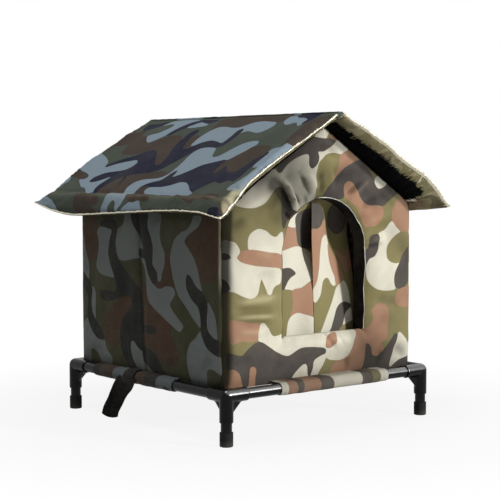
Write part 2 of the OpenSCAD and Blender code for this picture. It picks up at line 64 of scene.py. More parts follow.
# %% [markdown]
# ## Sizes from the frame
# The walls, the doorway and the roof's planes are read off the CAD nodes, so that each new surface
# lies where its solid is.

# %% Read the sizes
half_w = box("front_cover")[1][0]
board_half_w = box("front_board")[1][0]
foot_z = box("front_board")[0][2]
apex_z = box("front_board")[1][2]
front_board_y, front_lining_y = box("front_board")[0][1], box("front_board")[1][1]
front_inside_y = box("front_lining")[1][1]
rear_lining_y, rear_board_y = box("rear_lining")[0][1], box("rear_board")[0][1]
COVER_T = half_w - board_half_w
front_y = front_board_y - COVER_T
rear_y = box("rear_board")[1][1] + COVER_T
mid_y = (front_y + rear_y) / 2
lining_half_w = -box("left_boards")[1][0]
pitch = math.atan((apex_z - box("left_boards")[1][2]) / lining_half_w)
SIN, COS = math.sin(pitch), math.cos(pitch)
binding = box("door_binding")
door_x = (binding[0][0] + binding[1][0]) / 2
arch_r = (binding[1][0] - binding[0][0]) / 2
sill_z, arch_z = binding[0][2], binding[1][2] - arch_r
hinge = {joint["name"]: np.array(joint["pos_m"]) / MM for joint in frame["joints"] if "pos_m" in joint}
ridge_z = hinge["roof_left_swing"][2]
board_low, board_high = box("roof_right_board")
LINING_T, ROOF_BOARD_T = 1.0, 10.0
board_start = (board_low[0] - LINING_T * SIN) / COS
board_end = (board_high[0] - (LINING_T + ROOF_BOARD_T) * SIN) / COS
roof_z = board_high[2] + board_start * SIN - (LINING_T + ROOF_BOARD_T) * COS
board_half_l, roof_half_l = board_high[1], box("ridge_fold")[1][1]
MARGIN = roof_half_l - board_half_l
panel_l = board_end + MARGIN
print(f"cabin {2 * half_w:.0f} wide, {rear_y - front_y:.0f} deep, eaves pitch {math.degrees(pitch):.1f}")
print(f"roof slope {panel_l:.0f} long, plane at {roof_z:.1f}, ridge axis at {ridge_z:.1f}")

# %% [markdown]
# ## Camera
# The photograph looks at the front left corner from a little above, with a long lens. Its place was
# worked out from the house's straight edges: the rails, the legs and the gable.

# %% Camera
EYE = (-1.3563, -1.6885, 0.3918)
CAMERA_TURN, CAMERA_DROP = -39.309, 3.579
LENS, SENSOR, FAR_CLIP = 97.96, 36.0, 50.0


def placed(name, data):
    """A new object of the scene that shows a mesh, a light or a camera."""
    made = bpy.data.objects.new(name, data)
    bpy.context.scene.collection.objects.link(made)
    return made


camera = placed("camera", bpy.data.cameras.new("camera"))
camera.location = EYE
camera.rotation_euler = (math.radians(90 - CAMERA_DROP), 0, math.radians(CAMERA_TURN))
camera.data.lens, camera.data.sensor_width, camera.data.clip_end = LENS, SENSOR, FAR_CLIP
bpy.context.scene.camera = camera
print("camera at", [round(v, 2) for v in camera.location])

# %% [markdown]
# ## Meshes from grids of points
# Every new piece is a grid: rows times columns of points worked out as whole arrays. A closed form
# joins a front grid to a back grid of the same shape, and its faces are turned outwards by the sign
# of the volume they enclose.

# %% Grid helpers
SHARP = math.radians(55)


def grid(first, second):
    """Two grids from two rows of values: the first changes along the rows, the second across them."""
    return np.meshgrid(first, second, indexing="ij")


def stacked(*parts):
    """Places from their coordinates, each a grid or a plain number, along a new last axis."""
    return np.stack(np.broadcast_arrays(*parts), -1)


def unit(vectors):
    """Vectors along the last axis, divided by their lengths."""
    return vectors / np.maximum(np.linalg.norm(vectors, axis=-1, keepdims=True), 1e-9)


def grid_faces(rows, cols, ring=False):
    """Four-sided faces between neighbouring points; a ring's last row is joined to its first."""
    i, j = grid(np.arange(rows if ring else rows - 1), np.arange(cols - 1))
    near, far = i * cols, (i + 1) % rows * cols
    return stacked(near + j, near + j + 1, far + j + 1, far + j).reshape(-1, 4)


def closed_faces(rows, cols, ring=False):
    """Faces of a front grid, of the back grid numbered after it, and of the rim between them."""
    at = np.arange(rows * cols).reshape(rows, cols)
    front = grid_faces(rows, cols, ring)
    if ring:
        loops = [np.append(at[:, 0], at[0, 0]), np.append(at[::-1, -1], at[-1, -1])]
    else:
        loops = [np.concatenate([at[:, 0], at[-1, 1:], at[-2::-1, -1], at[0, -2::-1]])]
    rims = [stacked(k[:-1], k[1:], k[1:] + at.size, k[:-1] + at.size) for k in loops]
    return np.concatenate([front, front[:, ::-1] + at.size, *rims])


def add_mesh(name, points, faces, uv=None, fields=None, painted_shading=None):
    """An object with its place in its mesh: points in millimetres, faces as rows of four indices,
    turned outwards. The volume they enclose is the sum of a . (b x c) over their triangles."""
    points = np.asarray(points, float).reshape(-1, 3)
    a, b, c, d = (points[faces[:, k]] for k in range(4))
    volume = (a * np.cross(b, c)).sum() + (a * np.cross(c, d)).sum()
    if volume < 0:
        faces = faces[:, ::-1]
    mesh = bpy.data.meshes.new(name)
    mesh.vertices.add(len(points))
    mesh.vertices.foreach_set("co", (points * MM).ravel())
    mesh.loops.add(faces.size)
    mesh.loops.foreach_set("vertex_index", np.ascontiguousarray(faces).ravel())
    mesh.polygons.add(len(faces))
    mesh.polygons.foreach_set("loop_start", np.arange(0, faces.size, 4))
    mesh.update(calc_edges=True)
    mesh.polygons.foreach_set("use_smooth", np.ones(len(faces), bool))
    if uv is not None:
        layer = mesh.uv_layers.new(name="UVMap")
        layer.data.foreach_set("uv", (np.asarray(uv, float).reshape(-1, 2)[faces.ravel()] * MM).ravel())
    for label, kind, field, values in (("print", "FLOAT_VECTOR", "vector", fields),
                                       ("painted_shading", "FLOAT", "value", painted_shading)):
        if values is not None:
            layer = mesh.attributes.new(label, kind, "POINT")
            layer.data.foreach_set(field, np.asarray(values, float).ravel())
    mesh.set_sharp_from_angle(angle=SHARP)
    print(f"{name}: {len(points)} points, {len(faces)} faces")
    return placed(name, mesh)


def closed_form(name, front, back, uv=None, fields=None, painted_shading=None, ring=False):
    """A solid between two grids of points; the back repeats the front's UV, print and painted shading."""
    rows, cols = front.shape[:2]
    points = np.concatenate([front.reshape(-1, 3), back.reshape(-1, 3)])
    twice = [None if v is None else np.concatenate([v.reshape(rows * cols, -1)] * 2)
             for v in (uv, fields, painted_shading)]
    return add_mesh(name, points, closed_faces(rows, cols, ring), *twice)


def grid_normals(points):
    """Unit normals of a grid: the cross product of its steps along the columns and the rows."""
    return unit(np.cross(np.gradient(points, axis=1), np.gradient(points, axis=0)))


def thick_sheet(name, points, thickness, uv=None, fields=None):
    """A sheet of cloth or foil: the grid and the same grid set back along its normals."""
    back = points - grid_normals(points) * thickness
    return closed_form(name, points, back, uv, fields)


def dress(piece, material, body, node_name=None):
    """Gives a piece its finish, the body it rides on and the CAD node it stands for."""
    piece.data.materials.append(material)
    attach(piece, body)
    if node_name:
        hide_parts(node_name)
    return piece


# %% [markdown]
# ## Unevenness
# Cloth is never flat. Soft swellings are a few sines added in seeded directions; crumpled foil uses
# their absolute values, which meet in sharp ridges; a single fold is a bell across a line.

# %% Unevenness helpers


def waves(p, size, seed, count=7, folded=False):
    """Mean of sines about size millimetres apart in seeded directions, between about -1 and 1."""
    rng = np.random.default_rng(seed)
    total = 0
    for _ in range(count):
        angle, phase = rng.uniform(0, 2 * math.pi, 2)
        pace = 2 * math.pi / (size * rng.uniform(0.7, 1.5))
        wave = np.sin((p[..., 0] * math.cos(angle) + p[..., 1] * math.sin(angle)) * pace + phase)
        total = total + (1 - 2 * np.abs(wave) if folded else wave)
    return total / count ** 0.5


def crease(p, x0, z0, x1, z1, width, depth):
    """A fold from one place to another: depth times a bell across it, fading towards its ends."""
    start, way = np.array([x0, z0]), np.array([x1 - x0, z1 - z0])
    share = ((p - start) @ way) / (way @ way)
    away = np.linalg.norm(p - start - np.clip(share, 0, 1)[..., None] * way, axis=-1)
    along = np.clip(1.2 * np.sin(math.pi * np.clip(share, 0.05, 0.95)), 0, 1)
    return depth * bell(away, 0, width) * along


def creases(p, folds):
    """All the folds of a list added up."""
    return sum(crease(p, *fold) for fold in folds)


def bell(value, middle, width):
    """Bell curve of height one."""
    return np.exp(-((value - middle) / width) ** 2)


def rounded(distance, reach):
    """Quarter of a round, nought at the edge and one from reach inwards."""
    return np.sqrt(np.maximum(1 - (1 - ramp(distance, reach)) ** 2, 0))


def ramp(distance, reach):
    """Straight climb from nought to one over reach."""
    return np.clip(distance / reach, 0, 1)


def waning(distance, reach):
    """One at nought, dying away by a factor e over each reach."""
    return np.exp(-distance / reach)


def growing(distance, reach):
    """Nought at nought, nearing one beyond reach."""
    return 1 - np.exp(-distance / reach)


# %% [markdown]
# ## The printed cloth
# Woodland camouflage is four colours in rounded, branching patches. Each patch is a closed curve
# through a few given points. A mesh point stores how far it lies inside each colour, and the
# material cuts those distances off at nought, so the patches' edges are smooth at any mesh size.

# %% Print helpers
REACH = 12.0
GROWTH = 1.2
SLANT, SQUEEZE = 0.5, 1.35


def cubic(t, start, slope, end, end_slope):
    """Value between start and end at t from 0 to 1 that leaves and arrives with the given slopes."""
    return ((2 * t ** 3 - 3 * t ** 2 + 1) * start + (t ** 3 - 2 * t ** 2 + t) * slope
            + (3 * t ** 2 - 2 * t ** 3) * end + (t ** 3 - t ** 2) * end_slope)


def smooth_loop(numbers, steps=4, pull=0.42):
    """Closed curve through points x, y, x, y and so on: between two of them a cubic whose slopes
    are pull times the chord of their neighbours."""
    p = np.asarray(numbers, float).reshape(-1, 2)
    before, after, later = (np.roll(p, k, 0) for k in (1, -1, -2))
    t = (np.arange(steps) / steps)[:, None, None]
    curve = cubic(t, p, pull * (after - before), after, pull * (later - p))
    return curve.transpose(1, 0, 2).reshape(-1, 2)


def depth_inside(p, loop):
    """Distance of each point from a loop, positive inside it by the crossings of a level ray."""
    depth = np.full(len(p), -REACH)
    near = np.flatnonzero(((p > loop.min(0) - REACH) & (p < loop.max(0) + REACH)).all(1))
    q, a = p[near, None, :], loop[None]
    way = np.roll(loop, -1, 0)[None] - a
    share = np.clip(((q - a) * way).sum(-1) / ((way ** 2).sum(-1) + 1e-9), 0, 1)
    gap = np.linalg.norm(q - a - share[..., None] * way, axis=-1).min(1)
    above = (a[..., 1] > q[..., 1]) != (a[..., 1] + way[..., 1] > q[..., 1])
    rise = np.where(above, way[..., 1], 1)
    right = a[..., 0] + (q[..., 1] - a[..., 1]) / rise * way[..., 0] > q[..., 0]
    inside = (above & right).sum(1) % 2 == 1
    depth[near] = np.maximum(np.where(inside, gap, -gap), -REACH)
    return depth


def printed(p, patches):
    """Distances into colours one to three at the places p; a later patch lies over an earlier one,
    and colour 0 is the ground."""
    flat = p.reshape(-1, 2)
    fields = np.full((len(flat), 3), -REACH)
    for colour, *numbers in patches:
        depth = depth_inside(flat, smooth_loop(numbers)) + GROWTH
        over = np.minimum(fields, -depth[:, None])
        if colour:
            over[:, colour - 1] = np.maximum(fields[:, colour - 1], depth)
        fields = over
    return fields.reshape(*p.shape[:-1], 3)


def wild_print(p, seed, levels=(0.35, 0.55, 0.75), size=130):
    """Patches of the same kind where none are listed: warped waves cut off at a level."""
    warp = np.stack([waves(p, size * 0.6, seed + k, 5) for k in (1, 2)], -1) * size * 0.16
    q = (p + warp) * [1.0, SQUEEZE]
    q = stacked(q[..., 0] + SLANT * q[..., 1], q[..., 1])
    fields = [(waves(q, size, seed + 10 * k, 6) - level) * size / 7 for k, level in enumerate(levels)]
    fields = np.stack(fields, -1)
    fields[..., 0] = np.minimum(fields[..., 0], -fields[..., 1:].max(-1))
    fields[..., 1] = np.minimum(fields[..., 1], -fields[..., 2])
    return np.clip(fields, -REACH, REACH)


# %% [markdown]
# ## Shader groups
# Four effects are shared by several finishes, so each is a node group: the print's four colours,
# the weave's threads, fine creases, and the fading and soil of used cloth.

# %% Shader helpers


def new_group(name, inputs, output):
    """An empty node group; the inputs and the output are (name, type) pairs."""
    group = bpy.data.node_groups.new(name, "ShaderNodeTree")
    for way, (label, kind) in [("INPUT", pair) for pair in inputs] + [("OUTPUT", output)]:
        group.interface.new_socket(name=label, in_out=way, socket_type="NodeSocket" + kind)
    return group, group.nodes.new("NodeGroupInput"), group.nodes.new("NodeGroupOutput")


def feed(tree, made, **values):
    """Sets a node's inputs, or links those whose value is a socket. An input's name has underscores
    for its spaces; _0, _1 and so on are its inputs by number."""
    for key, value in values.items():
        socket = made.inputs[int(key[1:]) if key[0] == "_" else key.replace("_", " ")]
        if isinstance(value, bpy.types.NodeSocket):
            tree.links.new(value, socket)
        else:
            socket.default_value = value


def node(tree, kind, settings=None, **values):
    """A shader node with its settings and input values."""
    made = tree.nodes.new("ShaderNode" + kind)
    for key, value in (settings or {}).items():
        setattr(made, key, value)
    feed(tree, made, **values)
    return made


def math_node(tree, operation, *values):
    """Result of a Math node on sockets or numbers."""
    numbered = {f"_{k}": value for k, value in enumerate(values)}
    return node(tree, "Math", {"operation": operation}, **numbered).outputs[0]


def mix_colours(tree, share, first, second):
    """Colour between first and second by share."""
    return node(tree, "Mix", {"data_type": "RGBA"}, _0=share, _6=first, _7=second).outputs[2]


def smooth_range(tree, value, low, high, to_low=0.0, to_high=1.0):
    """Value taken smoothly from low..high to to_low..to_high."""
    smooth = {"interpolation_type": "SMOOTHSTEP"}
    return node(tree, "MapRange", smooth, Value=value, _1=low, _2=high, _3=to_low, _4=to_high).outputs[0]


def coordinates(tree, kind):
    """A place on the surface, UV or Object, or its Normal."""
    return node(tree, "TexCoord").outputs[kind]


def noise(tree, place, scale, detail=2.0, roughness=0.5):
    """Value of a noise texture; scale is its patches per metre."""
    return node(tree, "TexNoise", Vector=place, Scale=scale, Detail=detail, Roughness=roughness).outputs[0]


def use_group(tree, group, **values):
    """The output of a node that places a group, with its inputs set or linked."""
    return node(tree, "Group", {"node_tree": group}, **values).outputs[0]


def srgb(red, green, blue):
    """A colour written as seen on a screen, 0 to 255, in the renderer's linear values."""
    share = np.array([red, green, blue]) / 255
    return (*np.where(share <= 0.04045, share / 12.92, ((share + 0.055) / 1.055) ** 2.4), 1.0)


# %% Print group
FRAY, SOFT_EDGE = 0.9, 0.45
COLOURS = ("First", "Second", "Third")
print_group, inside, outside = new_group(
    "camouflage_print", [(label, "Color") for label in ("Ground", *COLOURS)], ("Color", "Color"))
tree = print_group
stored = node(tree, "Attribute", {"attribute_name": "print"})
axes = node(tree, "SeparateXYZ", Vector=stored.outputs["Vector"])
fray = math_node(tree, "MULTIPLY_ADD", noise(tree, coordinates(tree, "UV"), 900.0), FRAY, -FRAY / 2)
colour = inside.outputs["Ground"]
for k, label in enumerate(COLOURS):
    depth = math_node(tree, "ADD", axes.outputs[k], fray)
    share = smooth_range(tree, depth, -SOFT_EDGE, SOFT_EDGE)
    colour = mix_colours(tree, share, colour, inside.outputs[label])
feed(tree, outside, Color=colour)

# %% Weave and crease groups
weave_group, inside, outside = new_group("woven_threads", [("Pitch", "Float")], ("Height", "Float"))
tree = weave_group
axes = node(tree, "SeparateXYZ", Vector=coordinates(tree, "UV"))
turns = [math_node(tree, "DIVIDE", axes.outputs[k], inside.outputs["Pitch"]) for k in (0, 1)]
warp, weft = (math_node(tree, "SINE", turn) for turn in turns)
feed(tree, outside, Height=math_node(tree, "MULTIPLY_ADD", warp, weft, 0.5))

crease_group, inside, outside = new_group("fine_creases", [("Scale", "Float")], ("Height", "Float"))
tree = crease_group
cloud = node(tree, "TexNoise", Vector=coordinates(tree, "UV"), Scale=inside.outputs["Scale"],
             Detail=3.0, Distortion=1.2).outputs[0]
ridge = math_node(tree, "ABSOLUTE", math_node(tree, "SUBTRACT", cloud, 0.5))
feed(tree, outside, Height=math_node(tree, "SUBTRACT", 1.0, math_node(tree, "POWER", ridge, 0.6)))

# %% [markdown]
# The fading group lays dust in clouds and a dark grain over the cloth. A stored attribute then
# darkens it with painted shade where it is above nought and lights it with painted sunlight where it is
# below.

# %% Fading group
DUST, GRAIN, PAINTED_SUNLIGHT, PAINTED_SHADE = srgb(205, 198, 180), srgb(40, 37, 30), srgb(244, 232, 190), srgb(20, 18, 15)
fading_group, inside, outside = new_group(
    "fading", [("Color", "Color"), ("Amount", "Float")], ("Color", "Color"))
tree = fading_group
place = coordinates(tree, "Object")
cloud = math_node(tree, "MULTIPLY", noise(tree, place, 14.0, 4.0, 0.65), 0.65)
share = math_node(tree, "MULTIPLY_ADD", noise(tree, place, 420.0), 0.35, cloud)
share = math_node(tree, "MULTIPLY", smooth_range(tree, share, 0.35, 0.65), inside.outputs["Amount"])
colour = mix_colours(tree, share, inside.outputs["Color"], DUST)
grain = smooth_range(tree, noise(tree, coordinates(tree, "UV"), 760.0), 0.3, 0.75, 0.0, 0.24)
colour = mix_colours(tree, grain, colour, GRAIN)
# painted shade above nought and painted sunlight below it, read from the mesh's attribute
painted_shading = node(tree, "Attribute", {"attribute_name": "painted_shading"}).outputs["Fac"]
colour = mix_colours(tree, smooth_range(tree, painted_shading, -0.5, 0.0, 0.5, 0.0), colour, PAINTED_SUNLIGHT)
colour = mix_colours(tree, math_node(tree, "MAXIMUM", painted_shading, 0.0), colour, PAINTED_SHADE)
feed(tree, outside, Color=colour)
print("shader groups:", [group.name for group in bpy.data.node_groups])

# %% [markdown]
# ## Finishes
# Each finish is one material: its constants are set on the shader itself, and the groups feed only
# what changes over the surface.

# %% Finish helpers
THREAD = 0.11


def finish(name, colour, roughness, metallic=0.0, **settings):
    """A Principled material and its node tree; settings are further sockets by name."""
    material = bpy.data.materials.new(name)
    material.use_nodes = True
    tree = material.node_tree
    shader = tree.nodes["Principled BSDF"]
    feed(tree, shader, Base_Color=colour, Roughness=roughness, Metallic=metallic, **settings)
    material.diffuse_color = colour
    return material, tree, shader


def fine_creases(tree, scale):
    """Height of the crease group at a scale."""
    return use_group(tree, crease_group, Scale=scale)


def threads(tree, pitch):
    """Height of the weave group for threads a pitch in millimetres apart."""
    return use_group(tree, weave_group, Pitch=pitch * MM)


def bump(tree, shader, *layers):
    """Bump nodes in a row, coarse first; a layer is (height socket, strength, distance in mm)."""
    below = {}
    for height, strength, distance in layers:
        made = node(tree, "Bump", Strength=strength, Distance=distance * MM, Height=height, **below)
        below = {"Normal": made.outputs[0]}
    feed(tree, shader, **below)


def print_colour(tree, ground, first, second, third, fade):
    """The four-coloured print, faded, with painted shade and painted sunlight from the stored attribute."""
    colour = use_group(tree, print_group, Ground=ground, First=first, Second=second, Third=third)
    return use_group(tree, fading_group, Color=colour, Amount=fade)


def camouflage(name, colours, fade=0.1, rough=0.72, shine=0.06):
    """Printed polyester cloth: four colours, threads of a plain weave, fine creases, fading, and painted
    shade and sunlight.
    """
    material, tree, shader = finish(name, colours[0], rough, Specular_IOR_Level=shine)
    feed(tree, shader, Base_Color=print_colour(tree, *colours, fade))
    bump(tree, shader, (fine_creases(tree, 26.0), 0.35, 1.6), (fine_creases(tree, 110.0), 0.22, 0.5),
         (threads(tree, THREAD), 0.3, 0.12))
    return material


# %% Cloth finishes
# Three copies of one printed cloth, with painted light in their colours: a sunlit one, a shaded one for the
# left wall and a bluish, sky-lit one for the roof.
SUNLIT_COLOURS = srgb(139, 130, 88), srgb(226, 221, 202), srgb(174, 134, 108), srgb(84, 78, 74)
SHADED_SIDE_COLOURS = srgb(64, 65, 47), srgb(114, 120, 118), srgb(72, 54, 44), srgb(36, 37, 36)
SKYLIT_ROOF_COLOURS = srgb(78, 86, 77), srgb(146, 163, 176), srgb(36, 38, 57), srgb(74, 64, 58)
sunlit_cloth = camouflage("sunlit_camouflage", SUNLIT_COLOURS, 0.05)
shaded_side_cloth = camouflage("shaded_side_camouflage", SHADED_SIDE_COLOURS, 0.05)
skylit_roof_cloth = camouflage("skylit_roof_camouflage", SKYLIT_ROOF_COLOURS, 0.04, 0.7, 0.02)
print("cloth finishes:", sunlit_cloth.name, shaded_side_cloth.name, skylit_roof_cloth.name)

# %% [markdown]
# ## Roof panels
# A panel is a cloth cover over a foam board, with a soft margin all round that curls and rolls into a
# foil rim. Its height over the roof's plane is a function of the way down the slope, s, and of y:
# a swelling from the ridge, pulled down to measured edge lines at the front, the rear and the eave.

# %% Roof lines
axis_s, axis_t = -(ridge_z - roof_z) * SIN, (ridge_z - roof_z) * COS
SWELL, SWELL_REACH = 10.2, 50.0
RAKE_RIM, EAVE_RIM, THINNEST = {"left": 4.6, "right": 1.4}, 2.2, 2.5
FOLD_S, FOLD_W, FOLD_DEPTH = board_end + 4, 3.2, 1.7
RAKE_R, RAKE_DROP = 9.0, 3.0
WELT, WELT_IN, WELT_W = {"left": 3.0, "right": 4.5}, 10.0, 6.5
ROLL, ROLL_S, ROLL_W = 2.6, board_end + 15, 8.0
CORNER_OUT = 6.5
ROOF_SEED = {"left": 40, "right": 60}
FRONT_EDGE = {
    "left": ((0, 10), (82, 14.5), (126, 17), (163, 18), (190, 17.5), (219, 11.5), (238, 7), (256, 5),
             (262, 8)),
    "right": ((0, 11), (22, 12.5), (49, 16.8), (76, 19), (106, 22.2), (138, 21.5), (168, 24.3), (196, 27.2),
              (213, 26.0), (229, 24.0), (247, 20), (262, 16))}
REAR_EDGE = ((0, 10), (67, 14.3), (136, 17.2), (196, 16.6), (230, 13), (262, 12))
EAVE_EDGE = {
    "left": ((-237, 1), (-205, 8.6), (-159, 11.3), (-111, 10.1), (-61, 7.3), (45, 0.6), (101, -3),
             (157, -4), (205, 4), (237, 15)),
    "right": ((-237, 15), (-195, 7), (-140, 1.5), (-60, 1), (60, 1), (150, 0), (237, 9))}
ROOF_FOLDS = {
    "left": ((212, 222, 236, 260, 5, 2.2), (196, 238, 226, 262, 4, -2.0), (236, 205, 214, 232, 5, -1.8),
             (-120, 234, -150, 258, 5, 2.6), (-150, 236, -176, 260, 4, -2.6), (-178, 230, -212, 250, 5, 2.8),
             (-186, 246, -230, 244, 4, -2.4), (-205, 224, -236, 236, 4, 2.4), (-216, 205, -238, 214, 4, -1.6),
             (-100, 240, -118, 262, 5, -1.8), (20, 236, 34, 260, 6, 1.6), (80, 236, 70, 262, 6, -1.4),
             (148, 238, 206, 262, 5, -2.0)),
    "right": ((-236, 205, -214, 232, 5, 2.0), (-226, 236, -200, 262, 5, -2.2), (226, 220, 236, 258, 5, 2.0),
              (-60, 238, -75, 262, 6, 1.8), (90, 238, 110, 262, 6, -1.8), (170, 232, 186, 262, 5, 2.0))}


def profile(points, at):
    """Smooth curve through given points (place, height): cubics whose slopes follow the points."""
    x, h = np.array(points, float).T
    slope = np.gradient(h, x)
    at = np.clip(at, x[0], x[-1])
    k = np.clip(np.searchsorted(x, at, side="right") - 1, 0, len(x) - 2)
    gap = x[k + 1] - x[k]
    return cubic((at - x[k]) / gap, h[k], gap * slope[k], h[k + 1], gap * slope[k + 1])


# %% Roof heights


def roof_heights(side, s, y):
    """Heights of the cover's top and of the lining's underside over the roof's plane: the swelling
    drawn to the edge lines, then waves and folds, the sewn line by the board's end, the rounded
    rakes with their welts, and the eave's roll."""
    front, rear = (ramp(k * y - board_half_l, MARGIN) ** 2 for k in (-1, 1))
    eave = ramp(s - board_end, MARGIN)
    front_edge, rear_edge = profile(FRONT_EDGE[side], s), profile(REAR_EDGE, s)
    swell = axis_t + growing(s - axis_s, SWELL_REACH) * SWELL
    top = swell + (front_edge - swell) * front + (rear_edge - swell) * rear
    low = (front_edge - RAKE_RIM[side]) * front + (rear_edge - RAKE_RIM[side]) * rear
    eave_line = profile(EAVE_EDGE[side], y)
    low = low + (eave_line - low) * eave ** 2
    top = eave_line + EAVE_RIM + (top - eave_line - EAVE_RIM) * np.sqrt(1 - eave ** 2)
    p, seed = stacked(y, s), ROOF_SEED[side]
    calm = ramp(s - axis_s, 40)
    loose = np.maximum(np.sqrt(front + rear), ramp(s - board_end + 4, 14)) * (1 - eave ** 4)
    uneven = 0.9 * waves(p, 42, seed + 1) + 0.5 * waves(p, 24, seed + 2, folded=True)
    top = top + calm * (0.7 * waves(p, 120, seed) + loose * uneven)
    top = top - FOLD_DEPTH * bell(s, FOLD_S, FOLD_W) * calm + 0.8 * bell(s, FOLD_S + 9, 6)
    top = top + creases(p, ROOF_FOLDS[side])
    top = top - RAKE_DROP * (1 - rounded(roof_half_l - np.abs(y), RAKE_R)) * calm
    padded = 1 - ramp(y - 165, 50) * ramp(s - 180, 40)
    welt = bell(np.abs(y), roof_half_l - WELT_IN, WELT_W) * (1 - eave ** 2) * calm * padded
    top = top + welt * WELT[side]
    top = top + ROLL * bell(s, ROLL_S, ROLL_W) * (1 + 0.4 * waves(p, 60, seed + 3)) * padded
    return np.maximum(top, low + THINNEST), low


def on_roof(side, s, y, t):
    """Points of the cabin's frame for places on a slope; the right panel's front corner is drawn out."""
    if side == "right":
        s = s + CORNER_OUT * ramp(s - 185, 77) ** 2 * ramp(-y - 180, 57)
    return stacked(TURN[side] * (s * COS + t * SIN), y, roof_z - s * SIN + t * COS)


margin_steps = np.sin(np.linspace(0, math.pi / 2, 16)) * MARGIN
slope_s = np.concatenate([np.linspace(axis_s + 2.7, board_end, 88)[:-1], board_end + margin_steps])
side_y = board_half_l + np.linspace(0, 1, 18) ** 0.8 * MARGIN
along_y = np.concatenate([-side_y[::-1], np.linspace(-board_half_l, board_half_l, 150)[1:-1], side_y])
print(f"roof grid {len(slope_s)} by {len(along_y)}")

# %% [markdown]
# ### The roof's print
# The left panel's patches, as y and the way down the slope: brown, light blue grey and navy on a
# grey green ground.

